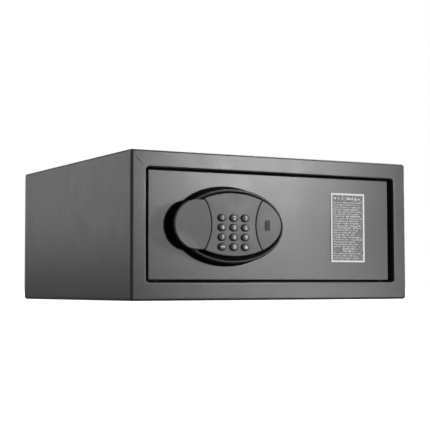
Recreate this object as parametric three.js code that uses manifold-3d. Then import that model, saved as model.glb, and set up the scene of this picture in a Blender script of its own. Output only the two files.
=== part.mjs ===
// In-room safe: a steel cabinet with an inset door, an oval electronic lock and a motor-driven bolt.
// Millimetres, +Z up. The origin is the centre of the cabinet's underside, and the door faces -Y.
import * as THREE from "three";
import { mergeVertices } from "three/addons/utils/BufferGeometryUtils.js";
import Module from "manifold-3d";

const wasm = await Module();
wasm.setup();

// ---------------------------------------------------------------- driving dimensions
const FIT = 0.3; // gap between two pieces that touch
const RUNNING = 0.4; // gap round a piece that slides or turns
const THROUGH = 5; // how far a cutter runs past what it cuts

const cabinet = { width: 430, depth: 388, height: 192, sheet: 2, corner: 4, bend: 3 };
const border = { side: 21.5, top: 22.5, bottom: 24, mouth: 2, corner: 4, jamb: 32 };
const door = {
  recess: 4, thickness: 5, corner: 2, edge: 1, gapLatch: 4, gapHinge: 7, gapTop: 2.5, gapBottom: 2.5,
};
const hinge = {
  pin: 4, fromEdge: 8.5, behindFace: 11, block: 16, blockHeight: 22, endGap: 2, bracket: 4, reach: 15,
};
const anchor = { radius: 6.5, spacing: 300, floorFromFront: 230, height: 96 };
const mat = { thickness: 3, margin: 4, fromFront: 40 };
const stop = { thickness: 2, width: 9, fromLatch: 23.5, fromHinge: 43.5 };
const backPanel = { flange: 14 };
const strike = { thickness: 3, past: 20, fromFront: 6 };

// The door's own frame: x and y are measured from the lock's centre, z out of the door's face.
const lock = { fromLatch: 111.5, belowMiddle: 0.35 };
const housing = { a: 78.5, b: 52, wall: 3, foot: 2, shoulder: 14.5, valley: 15, deck: 28, deckWall: 2.5 };
const bead = { y: -0.4, a: 78.6, b: 49, width: 4, top: 20.8, overhang: 0.8 };
const pod = { x: -4, y: 0.9, a: 72, b: 40.5, draft: 0.6, wall: 2 };
const seam = { radius: 57, leftOfKeys: 9.4, rightOfKeys: 10.5, gap: 0.8 };
const grip = {
  x: -58, y: 0.1, radius: 32, wall: 3.5, pastSeam: 5.4, chamfer: 1.2,
  ribs: 60, pointsPerRib: 3, ribDepth: 0.7,
};
const gasket = { thickness: 1.2, margin: 0.6, width: 7 };
const plate = { thickness: 2.7, edge: 0.8 }; // the fascia and the override cover
const lens = { setBack: 0.2, proud: 0.4, edge: 1.2 };
const display = { x: -60, y: 0.6, width: 33, height: 12, depth: 7, border: 2.5 };
const key = {
  a: 6.1, b: 4.9, pitchX: 17.1, pitchY: 12.45, x: -4.3, y: -9.1,
  proud: 2.6, skirt: 0.8, flange: 1.4, dome: 1.2,
};
const keypad = { sheet: 1.6, board: 1.6, travel: 1.5, boardAbove: 17 };
const coverSlide = { travel: 22, foot: 4, fromSeam: 2.6, footWidth: 2.2, offset: 13.5, hook: 0.9 };
const thumbRib = { x: 46.3, pitch: 1.9, width: 1, reach: 7, taper: 0.8, height: 0.6 };
const cylinder = { x: 44, radius: 8, plug: 5.4, behindArm: 2, belowDeck: 0.8, collar: 0.9 };
const cam = { thickness: 3.2, reach: 15, width: 9 };
const screw = { shank: 1.7, head: 4, headHeight: 2.2, boss: 4.2 };
const lockScrews = { gripDrop: 20.5, housingX: 28, housingRise: 29.7 };
const cable = { x: -6, y: 25.6, radius: 2.2, hole: 8 };

const liner = {
  fromLatch: 6.5, fromHinge: 34.5, fromBottom: 8.5, fromTop: 9, behindMotor: 1, sheet: 1.2, corner: 3,
};
const studs = { radius: 3.5, hole: 2.1, thread: 12, insetX: 12, insetY: 9 };
const bolt = { radius: 8, setBack: 3.5, length: 58, tail: 4, tailLength: 10, throw: 18, fromLiner: 24.5 };
const guide = { width: 28.5, wall: 2.5, overhang: 6 };
const carriage = { bar: 4, armLow: 6.35, armHigh: 14.6, armDepth: 5, pastPinion: 24, peg: 2 };
const gear = { x: -12, module: 1, teeth: 18, pressure: 20, backlash: 0.16, shaft: 3 };
const motor = { gap: 1.5, depth: 12.5, width: 26, below: 30.9, above: 1.1, can: 6, canFromLiner: 10 };
const board = { left: 70, right: 130, low: -34.4, high: 35.6, behindDoor: 6, thickness: 1.6 };
const cell = { radius: 7.1, length: 49.5, nub: 2.7, nubLength: 1.2, count: 4, pitch: 15.6 };
const holder = { left: 140, y: 0.4, wall: 1.6, cavity: 18.4, slack: 4 };
const lid = { overlap: 4, thickness: 1.6, rim: 5, rimWall: 1.4, gripInset: 8 };
const label = { fromHinge: 69, y: 2.6, width: 57, height: 96, thickness: 0.5 };

// ---------------------------------------------------------------- derived places
const half = cabinet.width / 2;
const opening = {
  left: -half + border.side, right: half - border.side,
  low: border.bottom, high: cabinet.height - border.top,
};
const lockX = opening.left + door.gapLatch + lock.fromLatch;
const lockY = (opening.low + door.gapBottom + opening.high - door.gapTop) / 2 - lock.belowMiddle;
const leaf = {
  left: -lock.fromLatch,
  right: opening.right - door.gapHinge - lockX,
  low: opening.low + door.gapBottom - lockY,
  high: opening.high - door.gapTop - lockY,
};
const leafBack = -door.thickness;
const hingeX = leaf.right - hinge.fromEdge;
const boltZ = leafBack - bolt.radius - 3;
const armFront = boltZ + 3; // the carriage's arm lies in a slice in front of the bolts' tails
const armBack = armFront - carriage.armDepth;
const motorFront = armBack - motor.gap;
const motorBack = motorFront - motor.depth;
const linerFace = motorBack - liner.behindMotor;
const tray = {
  left: leaf.left + liner.fromLatch, right: leaf.right - liner.fromHinge,
  low: leaf.low + liner.fromBottom, high: leaf.high - liner.fromTop,
};
const boltLow = tray.low + bolt.fromLiner;
const boltHigh = tray.high - bolt.fromLiner;
const boltTip = leaf.left + bolt.setBack;
const guideLeft = tray.left + liner.sheet + 2 * RUNNING;
const pinionPitch = (gear.module * gear.teeth) / 2;
const pinionY = carriage.armLow - 1.25 * gear.module - pinionPitch;

const deckUnder = housing.deck - housing.deckWall;
const plateBack = housing.deck + FIT;
const plateFace = plateBack + plate.thickness;
const cylinderRear = armBack - cylinder.behindArm;
const seamLeft = key.x - key.pitchX - key.a - seam.leftOfKeys; // the seams' middles
const seamRight = key.x + key.pitchX + key.a + seam.rightOfKeys;
const gripFlat = seamLeft + grip.pastSeam;
const footLeft = seamRight + coverSlide.fromSeam;
const footRight = footLeft + coverSlide.foot;
const lockBack = gasket.thickness + 2 * FIT; // z of the housing's and grip's back edge
const camPeg = cylinder.x + cam.width / 2 + carriage.peg + 1; // the carriage's peg with the bolts in
const lockBosses = [
  [grip.x, grip.y - lockScrews.gripDrop],
  [lockScrews.housingX, pod.y + lockScrews.housingRise],
  [lockScrews.housingX, pod.y - lockScrews.housingRise],
];
const guideRight = guideLeft + guide.width;
const studPlaces = [guideRight + studs.radius + 1, tray.right - studs.insetX].flatMap((x) =>
  [tray.low + studs.insetY, tray.high - studs.insetY].map((y) => [x, y]));
const keyNames = ["1", "2", "3", "4", "5", "6", "7", "8", "9", "clear", "0", "lock"];
const keyPlaces = keyNames.map((name, i) => {
  const [column, row] = [i % 3, Math.floor(i / 3)];
  return ["key_" + name, key.x + (column - 1) * key.pitchX, key.y + (1.5 - row) * key.pitchY];
});

// ---------------------------------------------------------------- materials
const finish = (color, roughness, metalness) =>
  new THREE.MeshStandardMaterial({ color, roughness, metalness });
const paint = finish(0x4a4a4c, 0.5, 0.3);
const blackPlastic = finish(0x1c1c1e, 0.45, 0);
const greyPlastic = finish(0x4b4a4d, 0.5, 0);
const smokedPlastic = finish(0x3f3f43, 0.15, 0);
const keyPlastic = finish(0x55565a, 0.3, 0.1);
const rubber = finish(0x101010, 0.8, 0);
const felt = finish(0x17181b, 1, 0);
const steel = finish(0xb9bcc0, 0.3, 1);
const zinc = finish(0x9a9ca0, 0.4, 1);
const brass = finish(0xb99a55, 0.3, 1);
const circuit = finish(0x1e5a35, 0.6, 0);
const cellWrap = finish(0x2c5f8c, 0.4, 0.2);
const print = finish(0xc9cbce, 0.5, 0);

// ---------------------------------------------------------------- outlines and solids
// A closed outline is an anticlockwise list of points, with no repeated end point.
function roundedRect(x0, y0, x1, y1, r, steps = 3) {
  const points = [];
  const corners = [[x1 - r, y0 + r, -90], [x1 - r, y1 - r, 0], [x0 + r, y1 - r, 90], [x0 + r, y0 + r, 180]];
  for (const [cx, cy, start] of corners)
    for (let i = 0; i <= steps; i++) {
      const t = THREE.MathUtils.degToRad(start + (90 * i) / steps);
      points.push(new THREE.Vector2(cx + r * Math.cos(t), cy + r * Math.sin(t)));
    }
  return points;
}

function ellipse(cx, cy, a, b, steps = 24) {
  return new THREE.EllipseCurve(cx, cy, a, b).getPoints(steps).slice(0, steps);
}

// A rounded rectangle grown by `out` on every side, with its corners grown too.
const grown = (r, out, corner, steps) =>
  roundedRect(r.left - out, r.low - out, r.right + out, r.high + out, Math.max(corner + out, 0.4), steps);

// A closed solid through outlines of equal point count: rings is a list of [outline, z] from cap to cap.
function loft(rings) {
  const n = rings[0][0].length;
  const position = [];
  const index = [];
  for (const [points, z] of rings)
    for (const p of points) position.push(p.x, p.y, z);
  for (let k = 0; k + 1 < rings.length; k++)
    for (let i = 0; i < n; i++) {
      const [a, b] = [k * n + i, k * n + ((i + 1) % n)];
      index.push(a, b, b + n, a, b + n, a + n);
    }
  const last = (rings.length - 1) * n;
  const cap = ([outline]) => THREE.ShapeUtils.triangulateShape(outline, []);
  for (const [i, j, k] of cap(rings[0])) index.push(i, k, j);
  for (const [i, j, k] of cap(rings.at(-1))) index.push(last + i, last + j, last + k);
  const geometry = new THREE.BufferGeometry();
  geometry.setAttribute("position", new THREE.Float32BufferAttribute(position, 3));
  return geometry.setIndex(index);
}

function solid(geometry) {
  const loose = geometry.index ? geometry.toNonIndexed() : geometry;
  const bare = new THREE.BufferGeometry().setAttribute("position", loose.getAttribute("position"));
  const merged = mergeVertices(bare, 1e-4);
  return new wasm.Manifold(new wasm.Mesh({
    numProp: 3,
    vertProperties: merged.attributes.position.array,
    triVerts: new Uint32Array(merged.index.array),
  }));
}

function geometryOf(manifold) {
  const made = manifold.getMesh();
  const geometry = new THREE.BufferGeometry();
  geometry.setAttribute("position", new THREE.BufferAttribute(new Float32Array(made.vertProperties), 3));
  geometry.setIndex(new THREE.BufferAttribute(new Uint32Array(made.triVerts), 1));
  return geometry;
}

const prism = (points, z0, z1) => {
  const shape = new THREE.Shape(points);
  return solid(new THREE.ExtrudeGeometry(shape, { depth: z1 - z0, bevelEnabled: false }).translate(0, 0, z0));
};
const block = (x0, x1, y0, y1, z0, z1) => {
  const box = new THREE.BoxGeometry(x1 - x0, y1 - y0, z1 - z0);
  return solid(box.translate((x0 + x1) / 2, (y0 + y1) / 2, (z0 + z1) / 2));
};
const rod = (r, length, sides) => new THREE.CylinderGeometry(r, r, length, sides);
const rodX = (y, z, r, x0, x1, sides = 24) =>
  solid(rod(r, x1 - x0, sides).rotateZ(Math.PI / 2).translate((x0 + x1) / 2, y, z));
const rodY = (x, z, r, y0, y1, sides = 24) => solid(rod(r, y1 - y0, sides).translate(x, (y0 + y1) / 2, z));
const rodZ = (x, y, r, z0, z1, sides = 24) =>
  solid(rod(r, z1 - z0, sides).rotateX(Math.PI / 2).translate(x, y, (z0 + z1) / 2));

// A turned piece, from [radius, height] steps that start and end on its axis.
const turned = (steps, sides) =>
  new THREE.LatheGeometry(steps.map(([r, height]) => new THREE.Vector2(r, height)), sides);

const join = (first, ...rest) => rest.reduce((whole, piece) => whole.add(piece), first);
const cut = (first, ...rest) => rest.reduce((whole, piece) => whole.subtract(piece), first);

const safe = new THREE.Group();
const front = new THREE.Group(); // z is 0 on the cabinet's front face
front.rotation.x = Math.PI / 2;
front.position.y = -cabinet.depth / 2;
const leafFrame = new THREE.Group();
leafFrame.position.set(lockX, lockY, -door.recess);
front.add(leafFrame);
safe.add(front);

function piece(name, made, material, parent = leafFrame) {
  const mesh = new THREE.Mesh(made.isBufferGeometry ? made : geometryOf(made), material);
  mesh.name = name;
  parent.add(mesh);
  return mesh;
}

// ---------------------------------------------------------------- cabinet
// One folded and welded sheet: sides, roof, floor, front border and the jamb that returns inwards.
function bodyShell() {
  const outside = { left: -half, right: half, low: 0, high: cabinet.height };
  const rings = [[grown(outside, 0, cabinet.corner), -cabinet.depth]];
  const bendSteps = 4;
  for (let i = 0; i <= bendSteps; i++) {
    const t = (Math.PI / 2) * (i / bendSteps);
    const inset = cabinet.bend * (1 - Math.cos(t));
    rings.push([grown(outside, -inset, cabinet.corner), -cabinet.bend + cabinet.bend * Math.sin(t)]);
  }
  const lining = grown(outside, -cabinet.sheet, cabinet.corner);
  const hollow = prism(lining, -cabinet.depth - THROUGH, -cabinet.sheet);
  const jamb = prism(grown(opening, cabinet.sheet, border.corner), -border.jamb, -cabinet.sheet / 2);
  const mouth = [[grown(opening, 0, border.corner), -border.jamb - THROUGH]];
  for (let i = 0; i <= bendSteps; i++) {
    const t = (Math.PI / 2) * (i / bendSteps);
    const out = border.mouth * (1 - Math.cos(t));
    mouth.push([grown(opening, out, border.corner), -border.mouth + border.mouth * Math.sin(t)]);
  }
  mouth.push([grown(opening, border.mouth, border.corner), THROUGH]);
  const boltHoles = boltBores(opening.left - cabinet.sheet - 1, opening.left + 1);
  const [pinX, pinZ] = [lockX + hingeX, -door.recess - hinge.behindFace];
  const pinHoles = [opening.high, opening.low - cabinet.sheet].map((y) =>
    rodY(pinX, pinZ, hinge.pin + RUNNING, y - 1, y + cabinet.sheet + 1));
  return cut(
    join(cut(solid(loft(rings)), hollow), jamb), solid(loft(mouth)),
    ...boltHoles, ...pinHoles, ...floorHoles(cabinet.sheet + 1),
  );
}

// Clearance holes for the two bolts through the cabinet's latch side.
const boltBores = (x0, x1) =>
  [boltLow, boltHigh].map((y) => rodX(lockY + y, boltZ - door.recess, bolt.radius + 1.5, x0, x1));

const floorHoles = (top) =>
  [-1, 1].map((side) => rodY((side * anchor.spacing) / 2, -anchor.floorFromFront, anchor.radius, -1, top));

function backPanelSolid() {
  const outside = { left: -half, right: half, low: 0, high: cabinet.height };
  const rear = -cabinet.depth;
  const outer = grown(outside, -cabinet.sheet - FIT, cabinet.corner);
  const inner = grown(outside, -2 * cabinet.sheet - FIT, cabinet.corner);
  const holes = [-1, 1].map((side) =>
    rodZ((side * anchor.spacing) / 2, anchor.height, anchor.radius, rear - 1, rear + cabinet.sheet + 1));
  return cut(
    prism(outer, rear, rear + backPanel.flange),
    prism(inner, rear + cabinet.sheet, rear + backPanel.flange + THROUGH),
    ...holes,
  );
}

function strikePlate() {
  const right = opening.left - cabinet.sheet - FIT;
  const left = right - strike.thickness;
  const [y0, y1] = [lockY + boltLow - strike.past, lockY + boltHigh + strike.past];
  return cut(block(left, right, y0, y1, -border.jamb, -strike.fromFront), ...boltBores(left - 1, right + 1));
}

function hingeBracket(y0, y1) {
  const [x, z] = [lockX + hingeX, -door.recess - hinge.behindFace];
  const bar = block(x - hinge.reach, opening.right, y0, y1, z - hinge.reach, -cabinet.sheet - FIT);
  return cut(bar, rodY(x, z, hinge.pin + RUNNING, y0 - 1, y1 + 1));
}

function makeCabinet() {
  const above = opening.high + cabinet.sheet + FIT;
  const below = opening.low - cabinet.sheet - FIT;
  piece("body_shell", bodyShell(), paint, front);
  piece("back_panel", backPanelSolid(), paint, front);
  piece("strike_plate", strikePlate(), zinc, front);
  piece("hinge_bracket_upper", hingeBracket(above, above + hinge.bracket), zinc, front);
  piece("hinge_bracket_lower", hingeBracket(below - hinge.bracket, below), zinc, front);
  const inside = half - cabinet.sheet - mat.margin;
  const matBack = -cabinet.depth + backPanel.flange + mat.margin;
  const matLow = cabinet.sheet + FIT;
  const sheet = block(-inside, inside, matLow, matLow + mat.thickness, matBack, -mat.fromFront);
  piece("floor_mat", cut(sheet, ...floorHoles(matLow + mat.thickness + 1)), felt, front);
  const stopFront = -door.recess - door.thickness - FIT;
  const stopZ = [stopFront - stop.thickness, stopFront];
  const stopX = [opening.left + stop.fromLatch, opening.right - stop.fromHinge];
  const stopLow = { upper: opening.high - FIT - stop.width, lower: opening.low + FIT };
  for (const [name, low] of Object.entries(stopLow))
    piece("door_stop_" + name, block(...stopX, low, low + stop.width, ...stopZ), paint, front);
}

// ---------------------------------------------------------------- door leaf
function doorPlate() {
  const { edge } = door;
  const ring = (inset, z) => [grown(leaf, -inset, door.corner), z];
  const leafSolid = solid(loft([
    ring(0, leafBack), ring(0, -edge), ring(edge * 0.3, -edge * 0.3), ring(edge, 0),
  ]));
  const posts = studPlaces.map(([x, y]) => rodZ(x, y, studs.radius, linerFace + FIT, leafBack + 0.5, 16));
  const [mouth, depth] = [linerFace - 1, linerFace + studs.thread];
  const threads = studPlaces.map(([x, y]) => rodZ(x, y, studs.hole, mouth, depth, 12));
  const holes = lockBosses.map(([x, y]) => rodZ(x, y, screw.shank + 1.1, leafBack - 1, 1, 16));
  return cut(
    join(leafSolid, ...posts), ...threads, ...holes,
    rodZ(cylinder.x, pod.y, cylinder.radius + RUNNING, leafBack - 1, 1),
    rodZ(cable.x, cable.y, cable.hole, leafBack - 1, 1),
  );
}

function makeHinge(name, inner, outer) {
  const z = -hinge.behindFace;
  const reach = hinge.block / 2;
  const away = Math.sign(outer - inner);
  const [y0, y1] = [inner, inner + away * hinge.blockHeight].sort((a, b) => a - b);
  const tube = block(hingeX - reach, hingeX + reach, y0, y1, z - reach, leafBack - FIT);
  piece("hinge_block_" + name, cut(tube, rodY(hingeX, z, hinge.pin + FIT, y0 - 1, y1 + 1)), zinc);
  const [p0, p1] = [inner, outer].sort((a, b) => a - b);
  piece("hinge_pin_" + name, rodY(hingeX, z, hinge.pin, p0, p1), steel);
}

// ---------------------------------------------------------------- oval lock on the door's face
const ovalRing = (x, y, oval) => (out, z) => [ellipse(x, y, oval.a + out, oval.b + out, 64), z];
const housingRing = ovalRing(0, 0, housing);
const beadRing = ovalRing(0, bead.y, bead);
const podRing = ovalRing(pod.x, pod.y, pod);
const podInside = -pod.draft - pod.wall;

// The grip's plan: a circle with its side towards the keypad cut flat.
function gripPlan(radius, flatX, z0, z1, sides = 64) {
  const past = 2 * grip.radius;
  const beyond = block(flatX, flatX + past, grip.y - past, grip.y + past, z0 - 1, z1 + 1);
  return rodZ(grip.x, grip.y, radius, z0, z1, sides).subtract(beyond);
}

// A disc whose rim carries shallow finger ribs.
function ribbedDisc(z0, z1) {
  const count = grip.ribs * grip.pointsPerRib;
  const rim = (shrink) => Array.from({ length: count }, (_, i) => {
    const t = (2 * Math.PI * i) / count;
    const r = grip.radius - shrink - (i % grip.pointsPerRib === 0 ? grip.ribDepth : 0);
    return new THREE.Vector2(grip.x + r * Math.cos(t), grip.y + r * Math.sin(t));
  });
  return solid(loft([[rim(0), z0], [rim(0), z1 - grip.chamfer], [rim(grip.chamfer), z1]]));
}

function lockHousing() {
  const { overhang, width, top } = bead;
  const outside = solid(loft([
    housingRing(0, lockBack),
    housingRing(0, lockBack + housing.foot),
    beadRing(-overhang, housing.shoulder),
    beadRing(0, housing.shoulder + overhang),
    beadRing(0, top - 2),
    beadRing(-0.6, top - 0.6),
    beadRing(-width / 2, top),
    beadRing(0.6 - width, top - 0.6),
    beadRing(-width, top - 2),
    beadRing(-width - 0.3, housing.valley),
    podRing(pod.draft, housing.valley),
    podRing(0, housing.deck),
  ]));
  const hollow = solid(loft([
    housingRing(-housing.wall, -1),
    housingRing(-housing.wall, lockBack + housing.foot),
    beadRing(-overhang - housing.wall, housing.valley - housing.deckWall),
  ]));
  const podHollow = solid(loft([podRing(podInside, 0), podRing(podInside, deckUnder)]));
  const gripRoom = gripPlan(grip.radius + FIT, gripFlat + FIT, -1, housing.deck + 1);
  const shell = cut(outside, hollow, podHollow, gripRoom);
  const bosses = lockBosses.slice(1);
  const deckCut = [deckUnder - 1, housing.deck + 1];
  return cut(
    join(shell, ...bosses.map(([x, y]) => rodZ(x, y, screw.boss, lockBack, deckUnder + 1, 16))),
    ...bosses.map(screwHole),
    ...coverSlots(...deckCut),
    block(...keypadWindow(), ...deckCut),
    rodZ(cylinder.x, pod.y, cylinder.radius + cylinder.collar + RUNNING, ...deckCut),
  );
}

const screwHole = ([x, y]) => rodZ(x, y, screw.shank + FIT, 0, housing.valley - 3, 12);

// The slots in the deck that the override cover's two feet slide along.
function coverSlots(z0, z1) {
  const reach = coverSlide.footWidth / 2 + RUNNING;
  return [-1, 1].map((side) => {
    const y = pod.y + side * coverSlide.offset;
    return block(footLeft - RUNNING, footRight + coverSlide.travel + RUNNING, y - reach, y + reach, z0, z1);
  });
}

// x0, x1, y0, y1 of the hole in the deck that the keys' skirts move in.
function keypadWindow() {
  const reachX = key.pitchX + key.a + key.skirt + RUNNING;
  const reachY = 1.5 * key.pitchY + key.b + key.skirt + RUNNING;
  return [key.x - reachX, key.x + reachX, key.y - reachY, key.y + reachY];
}

function pullGrip() {
  const cup = cut(
    ribbedDisc(lockBack, housing.deck).intersect(gripPlan(grip.radius + 1, gripFlat, -1, housing.deck + 1)),
    gripPlan(grip.radius - grip.wall, gripFlat - grip.wall, 0, deckUnder, 40),
  );
  const [x, y] = lockBosses[0];
  const [w, h] = [display.width / 2 + RUNNING, display.height / 2 + RUNNING];
  return cut(
    cup.add(rodZ(x, y, screw.boss, lockBack, deckUnder + 1, 16)),
    screwHole([x, y]),
    block(display.x - w, display.x + w, display.y - h, display.y + h, deckUnder - 1, housing.deck + 1),
  );
}

// The lens, fascia and override cover share the face of the lock and meet along two arcs.
function seamDisc(side, gap, z0, z1) {
  const x = side === "left" ? seamLeft - seam.radius : seamRight + seam.radius;
  return rodZ(x, pod.y, seam.radius + gap, z0, z1, 96);
}

function displayLens() {
  const [z0, z1] = [plateBack, plateFace + lens.proud];
  const edge = lens.edge;
  const r = grip.radius - lens.setBack;
  const ring = (shrink, z) => [ellipse(grip.x, grip.y, r - shrink, r - shrink, 56), z];
  const bevel = [ring(0, z1 - edge), ring(edge * 0.3, z1 - edge * 0.3), ring(edge, z1)];
  const disc = solid(loft([ring(0, z0), ...bevel]));
  const shoulder = block(grip.x, seamLeft, grip.y - r, grip.y + r, z0, z1 - edge);
  return disc.add(shoulder).intersect(seamDisc("left", 0, z0 - 1, z1 + 1));
}

function podPlate() {
  const { edge } = plate;
  return solid(loft([podRing(0, plateBack), podRing(0, plateFace - edge), podRing(-edge, plateFace)]));
}

function keypadFascia() {
  const [z0, z1] = [plateBack - 1, plateFace + 1];
  const [a, b] = [key.a + RUNNING, key.b + RUNNING];
  const holes = keyPlaces.map(([, x, y]) => prism(ellipse(x, y, a, b, 20), z0, z1));
  const lobes = ["left", "right"].map((side) => seamDisc(side, seam.gap, z0, z1));
  return cut(podPlate(), ...lobes, ...holes);
}

function keyCap(x, y) {
  const skirtTop = plateBack - 2 * FIT;
  const top = plateFace + key.proud;
  const ring = (out, z) => [ellipse(x, y, key.a + out, key.b + out, 20), z];
  return loft([
    ring(key.skirt, skirtTop - key.flange), ring(key.skirt, skirtTop), ring(0, skirtTop),
    ring(0, top - key.dome), ring(-0.5, top - key.dome * 0.4), ring(-2, top),
  ]);
}

function overrideCover() {
  const shell = podPlate().intersect(seamDisc("right", 0, plateBack - 1, plateFace + 1));
  const thumbRibs = [-1.5, -0.5, 0.5, 1.5].map((k) => {
    const x = thumbRib.x + k * thumbRib.pitch;
    const reach = thumbRib.reach - Math.abs(k) * thumbRib.taper;
    const [z0, z1] = [plateFace - 0.3, plateFace + thumbRib.height];
    return block(x - thumbRib.width / 2, x + thumbRib.width / 2, pod.y - reach, pod.y + reach, z0, z1);
  });
  const { footWidth, offset, hook } = coverSlide;
  const under = deckUnder - RUNNING;
  const feet = [-1, 1].flatMap((side) => {
    const y = pod.y + side * offset;
    const w = footWidth / 2;
    return [
      block(footLeft, footRight, y - w, y + w, under - hook, plateBack + 0.5),
      block(footLeft, footRight, y - w - hook, y + w + hook, under - hook, under),
    ];
  });
  return join(shell, ...thumbRibs, ...feet);
}

function lockGasket() {
  const [z0, z1] = [FIT, FIT + gasket.thickness];
  const outline = (out, low, high) => join(
    solid(loft([housingRing(out, low), housingRing(out, high)])),
    rodZ(grip.x, grip.y, grip.radius + out, low, high, 48),
  );
  return cut(outline(gasket.margin, z0, z1), outline(-gasket.width, z0 - 1, z1 + 1));
}

function makeLock() {
  piece("lock_gasket", lockGasket(), rubber);
  piece("lock_housing", lockHousing(), blackPlastic);
  piece("pull_grip", pullGrip(), blackPlastic);
  piece("display_lens", displayLens(), smokedPlastic);
  piece("display_module", displayModule(), rubber);
  piece("keypad_fascia", keypadFascia(), greyPlastic);
  for (const [name, x, y] of keyPlaces) piece(name, keyCap(x, y), keyPlastic);
  makeKeypad();
  piece("override_cover", overrideCover(), greyPlastic);
  makeCylinder();
  const [seat, end] = [leafBack - FIT, housing.valley - 4];
  lockBosses.forEach(([x, y], i) => piece("lock_screw_" + (i + 1), screwSolid(x, y, seat, end), zinc));
}

// The membrane and the board under the keys, and the board's lead.
function makeKeypad() {
  const [x0, x1, y0, y1] = keypadWindow();
  const sheetTop = plateBack - 2 * FIT - key.flange - keypad.travel - FIT;
  const sheetBack = sheetTop - keypad.sheet;
  const boardFront = sheetBack - FIT;
  const boardBack = boardFront - keypad.board;
  const inset = podInside - RUNNING;
  const insidePod = solid(loft([podRing(inset, boardBack - 1), podRing(inset, sheetTop + 1)]));
  const sheet = block(x0, x1, y0, y1, sheetBack, sheetTop);
  piece("keypad_membrane", sheet.intersect(insidePod), rubber);
  const card = block(x0, x1, y0, y1 + keypad.boardAbove, boardBack, boardFront);
  piece("keypad_board", card.intersect(insidePod), circuit);
  makeHarness(boardBack - FIT);
}

// A pan-head screw driven forwards: the head's underside is at `seat` and the shank ends at `end`.
function screwSolid(x, y, seat, end) {
  const shank = rodZ(x, y, screw.shank, seat - 1, end, 12);
  return shank.add(rodZ(x, y, screw.head, seat - screw.headHeight, seat, 16));
}

function displayModule() {
  const { x, y, depth, border: rim } = display;
  const [w, h] = [display.width / 2, display.height / 2];
  const face = deckUnder - FIT;
  const frame = block(x - w - rim, x + w + rim, y - h - rim, y + h + rim, face - depth, face);
  return frame.add(block(x - w, x + w, y - h, y + h, face - 1, housing.deck - FIT));
}

function makeCylinder() {
  const { x, radius, plug, collar } = cylinder;
  const rear = cylinderRear;
  const y = pod.y;
  const face = housing.deck - cylinder.belowDeck;
  piece("key_cylinder", cut(
    rodZ(x, y, radius, rear, face).add(rodZ(x, y, radius + collar, face - 2, face)),
    rodZ(x, y, plug + RUNNING, rear - 1, face + 1),
  ), steel);
  const keyway = block(x - 0.7, x + 0.7, y - 3.6, y + 3.6, face - 8, face + 1);
  piece("key_plug", rodZ(x, y, plug, rear - 1, face).subtract(keyway), brass);
  const back = rear - 1 - FIT;
  const arm = block(x - cam.reach, x, y - cam.width / 2, y + cam.width / 2, back - cam.thickness, back);
  piece("override_cam", rodZ(x, y, cam.width / 2 + 1, back - cam.thickness, back).add(arm), zinc);
}

// The lead from the keypad board, back through the door and along it to the control board.
function makeHarness(start) {
  const rear = leafBack - board.behindDoor - board.thickness - 4;
  const route = new THREE.CatmullRomCurve3([
    new THREE.Vector3(cable.x, cable.y, start),
    new THREE.Vector3(cable.x, cable.y, start / 2),
    new THREE.Vector3(cable.x, cable.y, leafBack + 1),
    new THREE.Vector3(cable.x + 6, cable.y, leafBack - 6),
    new THREE.Vector3(cable.x + 22, cable.y + 1, rear + 3),
    new THREE.Vector3(cylinder.x, cable.y + 2, rear),
    new THREE.Vector3(board.left - 12, cable.y - 3, rear),
    new THREE.Vector3(board.left - 1.5, board.high - 20, rear),
  ]);
  const section = new THREE.Shape(ellipse(0, 0, cable.radius, cable.radius, 8));
  const lead = new THREE.ExtrudeGeometry(section, { steps: 30, extrudePath: route, bevelEnabled: false });
  piece("wire_harness", lead, rubber);
}

// ---------------------------------------------------------------- boltwork behind the door
// Half the angle of a gear tooth at radius r, from the involute of the base circle.
function toothHalfAngle(r) {
  const pressure = THREE.MathUtils.degToRad(gear.pressure);
  const involute = (angle) => Math.tan(angle) - angle;
  const base = pinionPitch * Math.cos(pressure);
  const atPitch = Math.PI / (2 * gear.teeth) - gear.backlash / pinionPitch;
  return atPitch + involute(pressure) - involute(Math.acos(Math.min(1, base / r)));
}

function pinionOutline() {
  const radii = [pinionPitch - 1.25 * gear.module, pinionPitch, pinionPitch + 0.9 * gear.module];
  const points = [];
  for (let k = 0; k < gear.teeth; k++) {
    const middle = Math.PI / 2 + (2 * Math.PI * k) / gear.teeth;
    const rising = radii.map((r) => [r, middle - toothHalfAngle(Math.max(r, pinionPitch * 0.94))]);
    const falling = rising.map(([r, t]) => [r, 2 * middle - t]).reverse();
    for (const [r, t] of [...rising, ...falling])
      points.push(new THREE.Vector2(gear.x + r * Math.cos(t), pinionY + r * Math.sin(t)));
  }
  return points;
}

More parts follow.
